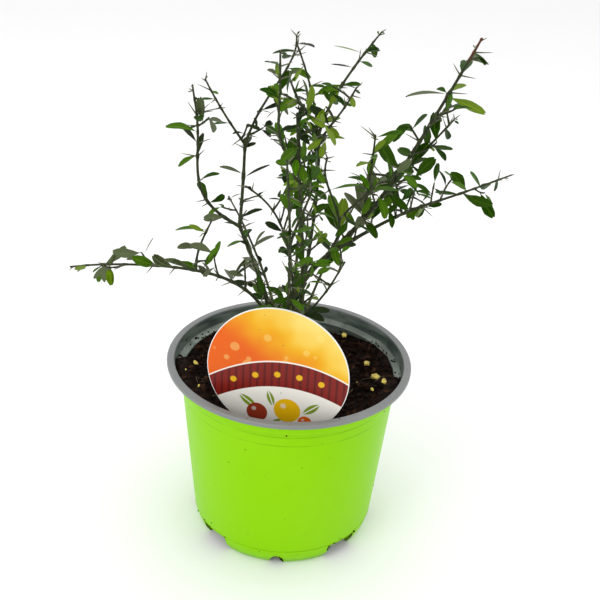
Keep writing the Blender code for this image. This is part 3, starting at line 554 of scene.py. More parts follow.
def soil_height(x, y):
    """The top of the soil: lumps and crumbs, level near the trunk and the wall, and the side banks."""
    out = math.hypot(x, y)
    open_soil = held((out - SOIL_FLAT_RADIUS) / FLAT_EDGE) * held((SOIL_BRINK - out) / BRINK_EDGE)
    broad = noise.noise(Vector((x, y, 0.0)) * 70.0)
    crumbs = noise.fractal(Vector((x, y, 0.3)) * 330.0, 0.7, 2.1, 3)
    fine = noise.noise(Vector((x, y, 0.7)) * 1400.0)
    wave = noise.noise(Vector((x, y, 0.9)) * 38.0)
    rise = held((out - BANK_START) / BANK_RUN)
    to_side = held((abs(x) / max(out, MM) - 0.5) / 0.4)
    low_bank, high_bank, turning = BANK_LEFT if x < 0 else BANK_RIGHT
    to_front = held(0.5 - 3.0 * (y / max(out, MM) - turning))
    side_bank = low_bank + (high_bank - low_bank) * to_front
    bank = rise * rise * (SOIL_BANK * (0.6 + 0.6 * wave) + side_bank * to_side * (1.0 + 0.2 * wave))
    bank = min(bank, BANK_TOP - SOIL_HEIGHT)
    relief = (broad * 0.9 + crumbs * 0.55) * SOIL_RELIEF * open_soil
    return SOIL_HEIGHT + relief + 0.12 * MM * fine + bank


def soil_reach(a):
    """How far out the soil lies: to the wall under the ledge, or over the ledge where it is heaped."""
    edge = soil_height(*polar(SOIL_BRINK, a))
    spill = held((edge - LEDGE - 0.4 * MM) / MM)
    over = WALL_INSIDE - CLEAR - SOIL_BRINK + max(0.0, edge - LEDGE) * WALL_LEAN
    return SOIL_BRINK + spill * over


def label_side(x, y):
    """Places in the label's own directions: along the plate and away from it."""
    away_x, away_y = x - LABEL_CENTRE.x, y - LABEL_CENTRE.y
    along = away_x * math.cos(LABEL_YAW) + away_y * math.sin(LABEL_YAW)
    return along, away_y * math.cos(LABEL_YAW) - away_x * math.sin(LABEL_YAW)


build = bmesh.new()
middle = build.verts.new((0.0, 0.0, soil_height(0.0, 0.0)))
rings = []
for ring in range(1, SOIL_RINGS + 1):
    turns = [2 * math.pi * (spoke + 0.5 * (ring % 2)) / SOIL_SPOKES for spoke in range(SOIL_SPOKES)]
    places = [polar(soil_reach(a) * ring / SOIL_RINGS, a) for a in turns]
    rings.append([build.verts.new((x, y, soil_height(x, y))) for x, y in places])
for vert, after in zip(rings[0], rings[0][1:] + rings[0][:1]):
    build.faces.new((middle, vert, after))
over_ledge = [vert.co.copy() for vert in rings[-1]]
for out, height in (
    (None, 0.1 * MM),
    (SOIL_BRINK, 0.2 * MM),
    (outside_at(floor_top + FLOOR_BEND) - WALL - CLEAR, floor_top + FLOOR_BEND),
    (FOOT_LINE_RADIUS - WALL - FLOOR_BEND / 3 - CLEAR, floor_top + CLEAR),
):
    row = []
    for top in over_ledge:
        x, y = polar(out or math.hypot(top.x, top.y), math.atan2(top.y, top.x))
        z = height if height > MM else min(top.z, LEDGE + 2 * CLEAR) - height
        row.append(build.verts.new((x, y, z)))
    rings.append(row)
for low, high in zip(rings, rings[1:]):
    band(build, low, high)
build.faces.new(rings[-1][::-1])
mesh = mesh_of(build, "soil")
smooth_over(mesh, 50)

soil_mix, place, shader = new_finish("soil_mix", 0.9, 0.06)
crumb_cells = cells(place, 430.0)
crumb_luck = axes_of(crumb_cells["Color"])
brown = fade(crumb_luck["X"], 0.35, 0.9)
rust = fade(crumb_luck["Y"], 0.88, 1.0) * fog(place, 260.0)
tone = layered(SOIL_DARK, (brown, SOIL_BROWN), (rust, SOIL_RUST))
crumb_relief = fog(place, 1500.0, 4.0) + crumb_cells["Distance"]
paint(shader, tone, bump(crumb_relief, 0.5 * MM, 0.8), 0.98 - crumb_luck["Z"] * 0.4)
soil = add_object("soil", mesh, soil_mix)
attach(soil, "root")
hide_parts("potting_soil")


def ball_points(detail):
    build = bmesh.new()
    bmesh.ops.create_icosphere(build, subdivisions=detail, radius=1.0)
    points = np.array([v.co for v in build.verts])
    faces = [tuple(v.index for v in f.verts) for f in build.faces]
    build.free()
    return points, faces


def tube_faces(sides, bands):
    """The faces of the bands between rings of points that follow one another."""
    return [
        (low + j, low + (j + 1) % sides, low + sides + (j + 1) % sides, low + sides + j)
        for low in range(0, bands * sides, sides) for j in range(sides)
    ]


def joined_mesh(name, parts, finishes=None):
    """One mesh from (points, faces) parts; finishes gives each part's place in the list of finishes."""
    faces, marks = [], []
    first = 0
    for k, (points, part_faces, *_) in enumerate(parts):
        faces += [tuple(first + corner for corner in face) for face in part_faces]
        marks += [finishes[k] if finishes else 0] * len(part_faces)
        first += len(points)
    mesh = bpy.data.meshes.new(name)
    mesh.from_pydata(np.concatenate([part[0] for part in parts]).tolist(), [], faces)
    mesh.polygons.foreach_set("material_index", marks)
    mesh.update()
    return mesh


def random_stretch(rng, *ranges):
    return np.array([rng.uniform(low, high) for low, high in ranges])


# Crumbs lie on the open soil, a few as clods, and in a broken line along its edge at the wall.
CLODS, CRUMBS, EDGE_CRUMBS = 210, 3000, 900
TRUNK_ROOM = 7.5 * MM
STAKE_ROOM = 2 * MM
ROUND_CRUMB_SIZE = 0.9 * MM
rng = random.Random(19)
ball_small, ball_large = ball_points(1), ball_points(2)
crumbs = []
while len(crumbs) < CRUMBS:
    out = (SOIL_BRINK - 1.2 * MM) * math.sqrt(rng.random())
    x, y = polar(out, rng.uniform(0, 2 * math.pi))
    if len(crumbs) < CLODS:
        size = rng.uniform(1.5, 3.0) * MM
    else:
        size = min(1.9, 0.28 + rng.expovariate(2.4)) * MM
    along, away = label_side(x, y)
    by_stake = abs(along) < STAKE_WIDTH / 2 + STAKE_ROOM and abs(away) < STAKE_ROOM + size
    if by_stake or out < TRUNK_ROOM or out + size > SOIL_BRINK - CLEAR:
        continue
    points, faces = ball_large if size > ROUND_CRUMB_SIZE else ball_small
    shape = points * random_stretch(rng, (0.6, 1.2), (0.5, 1.0), (0.35, 0.8))
    dent = np.array([noise.noise(Vector(p) * 1.7 + Vector((x, y, 0.0)) * 900.0) for p in points])
    shape = shape * (1.0 + 0.6 * dent[:, None]) * size
    turn = Matrix.Rotation(rng.uniform(0, 6.28), 3, "Z")
    turn = turn @ Matrix.Rotation(rng.gauss(0, 0.35), 3, "X")
    centre = np.array([x, y, soil_height(x, y) + size * rng.uniform(0.0, 0.35)])
    crumbs.append((shape @ np.array(turn).T + centre, faces))
while len(crumbs) < CRUMBS + EDGE_CRUMBS:
    a = rng.uniform(0, 2 * math.pi)
    size = min(1.3, 0.25 + rng.expovariate(3.5)) * MM
    climb = abs(rng.gauss(0, 1.3)) * MM
    edge = soil_height(*polar(SOIL_BRINK - MM, a))
    height = min(edge + climb - 0.4 * MM, POT_HEIGHT - 1.5 * MM)
    out = soil_reach(a) - 0.6 * size
    if edge < LEDGE + 0.4 * MM < height:
        height, out = LEDGE, rng.uniform(SOIL_BRINK, WALL_INSIDE - 0.6 * size)
    points, faces = ball_small
    shape = points * random_stretch(rng, (0.5, 0.9), (0.5, 0.9), (0.4, 0.8)) * size
    crumbs.append((shape + np.array([*polar(out, a), height]), faces))
mesh = joined_mesh("soil_crumbs", crumbs)
smooth_over(mesh, 60)
soil_crumbs = add_object("soil_crumbs", mesh, soil_mix)
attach(soil_crumbs, "root")

# Crumbs that stuck to the pot's wall, foot, ledge and rim when it was filled. The first are listed:
# degrees from the front, height in mm and size in mm.
# The crumbs along the notch edges, near 10 mm up at 32 to 57 degrees each side and beside the front arch, are
# partly soil and partly dark crumbs set where the cut edges lie in shade: painted shade.
SPECKS_OUTSIDE = [
    (-26, 93.5, 0.8), (-8, 92, 0.6), (1, 91, 0.9), (56, 91, 1.0), (54, 94, 0.6), (-62, 95, 0.6),
    (-20, 78, 0.4), (-30, 66, 0.5), (10, 70, 0.35), (-48, 14, 0.7), (-9, 64, 0.3), (12, 8, 0.5),
    (40, 12, 0.5), (-12, 9, 0.6), (110, 80, 0.8), (150, 60, 0.5), (-150, 90, 0.8), (-100, 40, 0.5),
    (175, 20, 0.7), (75, 30, 0.5), (-70, 8, 0.8), (-57, 10.4, 0.7), (-50, 10.3, 0.5), (-36.3, 10, 1.0),
    (-35.6, 8.4, 0.7), (32, 6.5, 0.9), (32, 8, 0.8), (32.5, 9.4, 1.1), (36, 10.4, 0.7), (42, 10.5, 0.5),
    (53.5, 10.2, 1.2), (54.5, 9.3, 0.7), (-1.2, 6.8, 0.7), (0.6, 6.0, 0.9), (1.7, 4.6, 1.0),
    (2.4, 2.6, 1.0), (3, 0.8, 0.9), (95, 5, 0.9), (140, 6, 0.8), (-140, 5.5, 0.9), (180, 3.5, 0.8),
    (-92, 4, 0.7),
]
LEDGE_SPECKS, RIM_SPECKS = 46, 14
FOOT_HEIGHTS = (0, FOOT_KNEE_HEIGHT, FOOT_LINE_HEIGHT)
FOOT_RADII = (FOOT_RADIUS, FOOT_KNEE_RADIUS, FOOT_LINE_RADIUS)
specks = []


def add_speck(out, a, height, size):
    points, faces = ball_small
    shape = points * random_stretch(rng, (0.5, 1.2), (0.5, 1.0), (0.6, 1.4)) * size
    specks.append((shape + np.array([*polar(out, a), height]), faces))


for degrees, height, size in SPECKS_OUTSIDE:
    height = height * MM
    out = outside_at(height)
    if height > LEDGE - SHOULDER_WALL:
        out = SHOULDER_LOW_RADIUS + (height - LEDGE) * WALL_LEAN
    elif height < FOOT_LINE_HEIGHT:
        out = np.interp(height, FOOT_HEIGHTS, FOOT_RADII)
    add_speck(out, math.radians(degrees - 90), height, size * 0.75 * MM)
for _ in range(LEDGE_SPECKS):
    a, height = rng.uniform(0, 2 * math.pi), LEDGE + 4.5 * MM * rng.random() ** 1.5
    add_speck(WALL_INSIDE + (height - LEDGE) * WALL_LEAN, a, height, rng.uniform(0.15, 0.45) * MM)
for _ in range(RIM_SPECKS):
    out, a = RIM_RADIUS - rng.uniform(0.9, 3.4) * MM, rng.uniform(0, 2 * math.pi)
    add_speck(out, a, POT_HEIGHT, rng.uniform(0.15, 0.32) * MM)
soil_specks = add_object("soil_specks", joined_mesh("soil_specks", specks), soil_mix)
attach(soil_specks, "root")

# The pale chips: slow-release feed husks and bits of straw, flat and angular, most at the right.
# Each row is a place in mm and a size in mm.
CHIPS = [
    (42.5, 13.0, 2.9), (46.8, -2.5, 3.2), (49.8, -16.5, 2.1), (37.0, -8.0, 1.1), (30.5, 44.0, 2.2),
    (-49.5, -5.0, 1.8), (-45.0, -31.0, 0.9), (-53.5, -16.0, 0.7), (20.0, 44.0, 1.4), (-22.0, 40.0, 1.5),
    (44.0, -20.0, 1.3),
    (8.0, 24.0, 1.1), (-12.0, -48.0, 1.2), (-30.0, 22.0, 1.0), (26.0, -8.0, 1.1), (2.0, 50.0, 1.2),
]
CHIP_BROWN = (0.14, 0.10, 0.03, 1.0)
CHIP_LIFT = 1.7 * MM
straw_chip, place, shader = new_finish("straw_chip", 0.6)
tone = mix(fade(fog(place, 500.0, 3.0), 0.42, 0.75), CHIP_STRAW, CHIP_BROWN)
paint(shader, tone, bump(fog(place, 2200.0), 0.2 * MM, 0.5))
chips = []
for x, y, size in CHIPS:
    count = rng.randint(5, 7)
    rim = []
    for j in range(count):
        u = math.cos(6.283 * j / count + rng.uniform(-0.3, 0.3)) * rng.uniform(0.7, 1.2)
        v = math.sin(6.283 * j / count + rng.uniform(-0.3, 0.3)) * rng.uniform(0.5, 0.85)
        rim.append((u, v))
    low = [(u, v, -0.12) for u, v in rim]
    high = [(u * 0.9, v * 0.9, 0.16 + 0.1 * rng.random()) for u, v in rim]
    faces = [tuple(range(count, 2 * count)), tuple(range(count))[::-1], *tube_faces(count, 1)]
    turn = Matrix.Rotation(rng.gauss(0.3, 0.2), 3, "X")
    turn = turn @ Matrix.Rotation(rng.uniform(0, 6.28), 3, "Z")
    centre = np.array([x * MM, y * MM, soil_height(x * MM, y * MM) + CHIP_LIFT])
    chips.append((np.array(low + high) * size * MM @ np.array(turn).T + centre, faces))

# Fine dead roots wander over the soil as thin three-sided hairs.
ROOTS, ROOT_STEPS, ROOT_RADIUS = 34, 10, 0.17 * MM
ROOT_BROWN = (0.05, 0.028, 0.015, 1.0)
ROOT_PALE = (0.30, 0.22, 0.13, 1.0)
root_skin, place, shader = new_finish("root_skin", 0.7, 0.2)
tone = mix(fog(place, 420.0, 3.0), ROOT_BROWN, ROOT_PALE)
paint(shader, tone, bump(fog(place, 2600.0), 0.05 * MM, 0.5))
roots = []
while len(roots) < ROOTS:
    a, out, heading = rng.uniform(0, 2 * math.pi), rng.uniform(16, 50) * MM, rng.uniform(0, 2 * math.pi)
    x, y = out * math.cos(a), out * math.sin(a)
    along, away = label_side(x, y)
    if abs(away) < 16 * MM and abs(along) < STAKE_WIDTH:
        continue
    step = rng.uniform(0.6, 1.5) * MM
    points = []
    for k in range(ROOT_STEPS + 1):
        thin = ROOT_RADIUS * (1.0 - 0.75 * (k / ROOT_STEPS) ** 2)
        middle = np.array([x, y, soil_height(x, y) + (0.5 + 0.9 * math.sin(math.pi * k / ROOT_STEPS)) * MM])
        side = np.array([-math.sin(heading), math.cos(heading), 0.0])
        for turn in (0.5, 2.6, 4.7):
            points.append(middle + thin * (side * math.cos(turn) + np.array([0.0, 0.0, math.sin(turn)])))
        heading += rng.gauss(0, 0.4)
        x, y = x + step * math.cos(heading), y + step * math.sin(heading)
        if math.hypot(x, y) > SOIL_BRINK - 2 * MM:
            heading += 1.3
            x, y = x * 0.96, y * 0.96
    faces = [*tube_faces(3, ROOT_STEPS), (2, 1, 0), tuple(3 * ROOT_STEPS + j for j in range(3))]
    roots.append((np.array(points), faces))
mesh = joined_mesh("soil_roots", roots)
mesh.shade_smooth()
soil_roots = add_object("soil_roots", mesh, root_skin)
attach(soil_roots, "root")
soil_chips = add_object("soil_chips", joined_mesh("soil_chips", chips), straw_chip)
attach(soil_chips, "root")

# Plant label. A round push-in card of printed white polystyrene on a stake, cut with a thin bare
# edge. Its print is a plain one of fruit colours: warm sky, dark red band, leaves and rounds.
PRINT_ORANGE = (0.72, 0.11, 0.001, 1.0)
PRINT_YELLOW = (0.80, 0.46, 0.004, 1.0)
PRINT_PALE = (0.86, 0.72, 0.22, 1.0)
PRINT_RED = (0.20, 0.010, 0.006, 1.0)
PRINT_RED_DEEP = (0.085, 0.004, 0.003, 1.0)
PRINT_CREAM = (0.84, 0.81, 0.74, 1.0)
PRINT_GREEN = (0.20, 0.30, 0.012, 1.0)
PRINT_RUST = (0.30, 0.035, 0.012, 1.0)
CARD_WHITE = (0.86, 0.86, 0.84, 1.0)
CARD_WORN = (0.78, 0.78, 0.75, 1.0)
STAKE_LENGTH = 34 * MM
STAKE_POINT = 8 * MM
STAKE_TIP_HALF = 0.8 * MM
CARD_BEVEL = 0.15 * MM
CARD_STEPS = 160


def card_outline(shrink):
    radius, half = LABEL_RADIUS - shrink, STAKE_WIDTH / 2 - shrink
    low = -LABEL_RADIUS - STAKE_LENGTH + shrink
    spread = math.asin(half / radius)
    outline = []
    for k in range(CARD_STEPS + 1):
        a = -math.pi / 2 + spread + (2 * math.pi - 2 * spread) * k / CARD_STEPS
        outline.append(polar(radius, a))
    tip, shoulder = STAKE_TIP_HALF, low + STAKE_POINT
    return outline + [(-half, shoulder), (-tip, low), (tip, low), (half, shoulder)]


build = bmesh.new()
front, back = -LABEL_THICKNESS / 2, LABEL_THICKNESS / 2
loops = [
    [build.verts.new((x, depth, z)) for x, z in card_outline(shrink)]
    for shrink, depth in (
        (CARD_BEVEL, front), (0.0, front + CARD_BEVEL), (0.0, back - CARD_BEVEL), (CARD_BEVEL, back)
    )
]
front_face = build.faces.new(loops[0])
front_face.material_index = 1
build.faces.new(loops[-1][::-1])
for low, high in zip(loops, loops[1:]):
    band(build, low, high)
mesh = mesh_of(build, "label_card")
smooth_over(mesh, 30)

bare_card, place, shader = new_finish("bare_card", 0.42)
skin = place_group(sheet_skin, {"Place": place, "Grain Size": 0.4, "Scratch Share": 0.6})
tone = mix(skin["Handling"], CARD_WHITE, CARD_WORN)
paint(shader, tone, bump(skin["Grain"], 0.02 * MM, 0.5))

# The sky of the print, with a warm haze and a glow of rounds in it.
card_print, place, shader = new_finish("card_print", 0.32, 0.25)
axes = axes_of(place)
across_card, up_card = axes["X"] / LABEL_RADIUS, axes["Z"] / LABEL_RADIUS
warm = up_card * 0.55 + across_card * 0.35 + (fog(place, 34.0) - 0.5) * 0.9
glow_round = fade(cells(place, 115.0, 0.75)["Distance"], 0.34, 0.30) * 0.3
tone = layered(
    PRINT_ORANGE,
    (fade(warm, -0.15, 0.55), PRINT_YELLOW),
    (fade(warm, 0.3, 0.75) * 0.8, PRINT_PALE),
    (glow_round, PRINT_PALE),
)


def round_mask(x, y, radius):
    """A printed round at a place on the card, all in shares of the card's radius."""
    return fade(reach_of(across_card - x, up_card - y), radius + 0.006, radius - 0.006)


def leaf_mask(x, y, length, slope):
    """A printed leaf: a lens turned by a slope, with its vein left out."""
    side, lift = across_card - x, up_card - y
    share = (side * math.cos(slope) + lift * math.sin(slope)) / length
    off = abs(lift * math.cos(slope) - side * math.sin(slope))
    edge = (1.0 - share * share) * (0.36 * length) - off
    return fade(edge, -0.004, 0.008) * fade(off, 0.006, 0.012)


# The band crosses the card low and arched, ruled with fine darker lines and edged in cream. Leaves
# are rows of place, length and slope, rounds of place, radius and ink.
PRINT_LEAVES = [
    (-0.40, -0.52, 0.17, 2.5), (0.03, -0.80, 0.15, 0.5),
    (0.50, -0.50, 0.16, 0.7), (-0.08, -0.42, 0.14, 1.9),
]
PRINT_ROUNDS = [
    (-0.27, -0.68, 0.15, PRINT_RUST), (0.16, -0.58, 0.19, PRINT_YELLOW),
    (0.42, -0.73, 0.10, PRINT_ORANGE),
]
band_line = up_card - across_card * 0.10 + across_card * across_card * 0.30
band_off = abs(band_line + 0.02)
rules = fade((across_card * 62.0).sine(), 0.2, 0.8)
band_tone = mix(rules * 0.8, PRINT_RED, PRINT_RED_DEEP)
tone = layered(
    tone,
    (fade(band_line, -0.2, -0.215), PRINT_CREAM),
    (fade(band_off, 0.222, 0.212), PRINT_CREAM),
    (fade(band_off, 0.2, 0.19), band_tone),
)
for row in PRINT_LEAVES:
    tone = mix(leaf_mask(*row), tone, PRINT_GREEN)
for x, y, radius, ink in PRINT_ROUNDS:
    shine = round_mask(x - 0.3 * radius, y + 0.35 * radius, 0.22 * radius)
    tone = layered(tone, (round_mask(x, y, radius), ink), (shine * 0.5, PRINT_CREAM))
for x in (-0.62, -0.31, 0.0, 0.31, 0.62):
    bead = round_mask(x, 0.02 + 0.10 * x - 0.30 * x * x - 0.04, 0.045)
    tone = mix(bead * 0.9, tone, PRINT_YELLOW)
card_edge = fade(reach_of(across_card, up_card), 0.987, 0.992)
tone = layered(tone, (card_edge, CARD_WHITE), (fade(up_card, -1.02, -1.04), CARD_WHITE))
tone, _ = dusted(tone, place, -0.036, -0.024, 0.5)
skin = place_group(sheet_skin, {"Place": place, "Grain Size": 0.5, "Scratch Share": 0.5})
paint(shader, tone, bump(skin["Grain"], 0.015 * MM, 0.4), skin["Handling"] * 0.12 + 0.26)

label = add_object("label_card", mesh, bare_card, card_print)
label.location = LABEL_CENTRE
label.rotation_euler.z = LABEL_YAW
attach(label, "root")
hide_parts("plant_label")

# Trunk and boughs. A short crown of young wood a finger's width above the soil, flared at its foot,
# from which a dozen green-gray shoots leave. The bark is thin, ribbed lengthwise and swollen at nodes.
TRUNK_FOOT = Vector((-2 * MM, 0.0, SOIL_HEIGHT + CLEAR))
TRUNK_TOP = Vector((-3 * MM, 0.0, 104 * MM))
TRUNK_FLARE_RADIUS = 5.6 * MM
TRUNK_RADIUS = 4.4 * MM
TRUNK_STEPS = 24
NODE_REACH = 1.2 * MM
COLLAR_REACH = 2.2 * MM
BARK_DARK = (0.014, 0.019, 0.009, 1.0)
BARK_OLIVE = (0.044, 0.058, 0.013, 1.0)
BARK_GREEN = (0.115, 0.15, 0.014, 1.0)
BARK_CORK = (0.085, 0.070, 0.040, 1.0)
BARK_RED_TIP = (0.16, 0.035, 0.02, 1.0)
UP = np.array([0.0, 0.0, 1.0])

# Each shoot: its parent, its place there, its tip, bow and sway in mm and its two radii in mm.
LIMBS = {
    "far_left": (
        "trunk", (-125, 4.7, 101.5), (-113.5, -4, 150), (19, -14, 31.5), (2.5, -5, 5.5), (0.95, 0.45)
    ),
    "far_left_up": ("far_left", 0.56, (-40.5, -14, 184.5), (-2, 0, -0.5), (0, 0, 0.5), (0.6, 0.4)),
    "left": ("trunk", (146, 4.7, 101), (-29, 6, 174), (2.5, 2, 1), (-0.5, 4, 0.5), (1.1, 0.85)),
    "left_tall": ("left", 0.99, (-49, -22, 252.5), (-10, 4, -4.5), (-3.5, 0, -2), (0.8, 0.4)),
    "left_inner": ("left", 0.99, (-28.5, 30, 209), (0, 4, -3), (0, 0, 0), (0.85, 0.7)),
    "left_inner_out": ("left_inner", 0.99, (-47.5, 16, 245), (-1, 0, 0), (0, 0, 0), (0.6, 0.4)),
    "left_inner_in": ("left_inner", 0.99, (-5, 46, 261.5), (3, 0, 3), (-2.5, 0, -1.5), (0.65, 0.4)),
    "thin_left": ("trunk", (-159, 3.7, 104.3), (-24, -26, 207.5), (15, -6, 1), (-0.5, 0, -7.5), (0.7, 0.4)),
    "thin_left_side": ("thin_left", 0.67, (-2, -34, 202.5), (-1.5, 0, -1), (-0.5, 0, -1), (0.5, 0.4)),
    "centre": ("trunk", (-65, 3.4, 104.3), (-1.5, -38, 247), (5.5, -6, -1), (1.5, -1.5, 0), (1, 0.7)),
    "centre_top": ("centre", 0.99, (-5, -46, 263), (4.5, 0, -3.5), (1, 0, 0.5), (0.6, 0.4)),
    "centre_thin": ("centre", 0.79, (-9.5, -52, 276.5), (-5, 0, -1.5), (-1.5, 0, 1), (0.6, 0.4)),
    "centre_right": ("trunk", (10, 3.4, 104.3), (-4.5, 22, 263.5), (11.5, 10, 0), (-2, 0, -1), (1.05, 0.4)),
    "right_up": ("centre_right", 0.7, (37.5, 44, 266), (-2.5, 0, 2), (-0.5, 0, 0), (0.75, 0.4)),
    "right_up_low": ("centre_right", 0.64, (24.5, -8, 251.5), (-2.5, 0, -1), (-1.5, 0, -0.5), (0.65, 0.4)),
    "right": ("trunk", (5, 0, 104.3), (21, 12, 160), (-9.5, 1, 0), (-2, -1, -3), (1.45, 1.25)),
    "right_low": ("right", 1, (113, 46, 194), (0, 0, 4), (2.5, 0, 2.5), (0.95, 0.4)),
    "right_low_up": ("right_low", 0.34, (45.5, 20, 206.5), (1, 0, -2), (0.5, 0, -2), (0.6, 0.4)),
    "right_low_mid": ("right_low", 0.39, (62, 44, 183), (0, 0, 0), (0, 0, 0), (0.5, 0.4)),
    "right_tall": ("right", 0.92, (77, -18, 279), (4, -2, -2), (1, 0, 0), (1.25, 0.5)),
    "right_tall_mid": ("right_tall", 0.2, (33.5, -30, 236.5), (0.5, 0, 0), (0, 0, 0), (0.65, 0.4)),
    "right_tall_side": ("right_tall", 0.5, (73, 6, 235), (-1, 0, -3.5), (-2, 0, -3), (0.6, 0.4)),
    "right_inner": ("right", 0.84, (12.5, -42, 229), (5, 0, 5), (4, 0, -1), (0.7, 0.4)),
    "right_fill": ("right_inner", 0.37, (37, -34, 216), (0, 0, 0.5), (0, 0, 0.5), (0.5, 0.4)),
    "back": ("trunk", (78, 3.4, 104.3), (2, 94, 203), (1.5, 4, -4), (0, -3, 0), (1, 0.4)),
    "back_up": ("back", 0.63, (-9.5, 66, 202.5), (0, 0, 0), (0, 0, 0.5), (0.6, 0.4)),
    "front": ("trunk", (-78, 4.7, 99), (-4, -94, 245.5), (1.5, -4, -0.5), (-0.5, 0, 2), (1, 0.4)),
    "front_side": ("front", 0.7, (6.5, -84, 230), (0, 0, 0.5), (0, 0, 0.5), (0.6, 0.4)),
    "front_left": ("trunk", (-133, 4.7, 94.5), (-17.5, -70, 190), (-0.5, 6, 7.5), (1.5, -3, -1), (0.85, 0.4)),
    "back_left": ("trunk", (119, 4.7, 93), (-40, 72, 162.5), (5, 5, 2), (1.5, 2, -3), (0.9, 0.4)),
    "back_right": ("trunk", (38, 4.7, 96), (36, 78, 168.5), (-4, 1, -2), (-0.5, 0, 0.5), (0.9, 0.4)),
    "low_right": ("trunk", (-61, 4.7, 94.5), (23.5, -46, 181), (-10, -7, 0.5), (-4.5, -1, 0), (0.8, 0.4)),
    "tuft_left": ("trunk", (131, 4.7, 98.5), (-20.5, 8, 142), (5, 8, 1.5), (2, 2, 0), (0.6, 0.4)),
    "tuft_right": ("trunk", (-146, 4.7, 99), (10, -16, 147), (-7.5, 2, -4.5), (-1.5, 1, -4), (0.6, 0.4)),
    "tuft_back": ("trunk", (74, 4.7, 93), (-9.5, 34, 123.5), (1.5, 0, 1.5), (-1, 0, 1.5), (0.6, 0.4)),
}

# The bare lower share of each shoot that leaves the crown.
BOUGHS = {
    "far_left": 0.3, "left": 0.36, "thin_left": 0.4, "centre": 0.34, "centre_right": 0.3,
    "right": 1, "back": 0.35, "front": 0.3, "front_left": 0.3, "back_left": 0.3,
    "back_right": 0.3, "low_right": 0.35,
}


def unit(v):
    return v / np.linalg.norm(v)


def across(axis, angle):
    """The direction square to a twig at an angle round it; 0 is level, 90 degrees is up."""
    side = np.cross(axis, UP)
    if np.linalg.norm(side) < 0.15:
        side = np.array([1.0, 0.0, 0.0]) - axis * axis[0]
    side = unit(side)
    return side * math.cos(angle) + np.cross(side, axis) * math.sin(angle)


def shares_of(start, end, count):
    return [start + (end - start) * k / count for k in range(count + 1)]


class Limb:
    """A tapering limb: a straight run from root to tip, bowed once and swayed once."""

    def __init__(self, root, tip, bow, sway, radius_root, radius_tip):
        self.root = np.array(root)
        self.run = np.array(tip) - self.root
        self.bow, self.sway = np.array(bow), np.array(sway)
        self.radius_root, self.radius_tip = radius_root, radius_tip

    def point(self, t):
        bowed = self.root + self.run * t + self.bow * (4 * t * (1 - t))
        return bowed + self.sway * math.sin(2 * math.pi * t)

    def axis(self, t):
        return unit(self.point(min(1.0, t + 0.02)) - self.point(max(0.0, t - 0.02)))

    def radius(self, t):
        return self.radius_root + (self.radius_tip - self.radius_root) * t

    def length(self, start=0.0, end=1.0):
        points = [self.point(t) for t in shares_of(start, end, 24)]
        return sum(float(np.linalg.norm(b - a)) for a, b in zip(points, points[1:]))


def trunk_root(place):
    out, height = place[1] * MM, place[2] * MM
    share = (min(height, TRUNK_TOP.z) - TRUNK_FOOT.z) / (TRUNK_TOP.z - TRUNK_FOOT.z)
    middle = TRUNK_FOOT.lerp(TRUNK_TOP, share)
    x, y = polar(out, math.radians(place[0]))
    return np.array([middle.x + x, middle.y + y, height])


limbs = {}
for name, (parent, place, tip, bow, sway, radii) in LIMBS.items():
    root = trunk_root(place) if parent == "trunk" else limbs[parent].point(place)
    tip, bow, sway, radii = (np.array(row) * MM for row in (tip, bow, sway, radii))
    limbs[name] = Limb(root, tip, bow, sway, *radii)


def stem(centres, radii, sides, relief, seed, tip_closed=True):
    """A ribbed tube through points with a radius at each; relief is the share that the ribs stand up."""
    centres = np.array(centres)
    points = []
    side = across(unit(centres[1] - centres[0]), 0.0)
    last = len(centres) - 1
    travelled = 0.0
    for k, centre in enumerate(centres):
        axis = unit(centres[min(last, k + 1)] - centres[max(0, k - 1)])
        side = unit(side - axis * (side @ axis))
        other = np.cross(axis, side)
        if k:
            travelled += float(np.linalg.norm(centre - centres[k - 1]))
        for j in range(sides):
            a = 2 * math.pi * j / sides
            rib = noise.noise(Vector((1.6 * math.cos(a) + seed, 1.6 * math.sin(a), travelled * 130.0)))
            grit = noise.noise(Vector((4.0 * math.cos(a), 4.0 * math.sin(a) + seed, travelled * 700.0)))
            reach = radii[k] * (1.0 + relief * (rib + 0.45 * grit))
            points.append(centre + (side * math.cos(a) + other * math.sin(a)) * reach)
    faces = [*tube_faces(sides, last), tuple(range(sides))[::-1]]
    top = last * sides
    if tip_closed:
        points.append(centres[-1] + unit(centres[-1] - centres[-2]) * radii[-1] * 0.8)
        faces += [(top + j, top + (j + 1) % sides, len(points) - 1) for j in range(sides)]
    else:
        faces.append(tuple(range(top, top + sides)))
    return np.array(points), faces


def limb_stem(limb, start, end, sides, spacing, relief, seed, swellings=(), tip_closed=True):
    """The stretch of a limb from one share to another, swollen at its nodes and at its root."""
    length = limb.length(start, end)
    shares = shares_of(start, end, max(3, int(length / spacing)))
    radii = []
    for t in shares:
        radius = limb.radius(t) * 1.08
        for node in swellings:
            off = (t - node) * length / (end - start) / NODE_REACH
            radius += 0.34 * limb.radius(t) * math.exp(-off * off)
        collar = t * length / (end - start) / COLLAR_REACH
        radius += 0.35 * limb.radius(0.0) * math.exp(-collar * collar)
        radii.append(radius)
    return stem([limb.point(t) for t in shares], radii, sides, relief, seed, tip_closed)


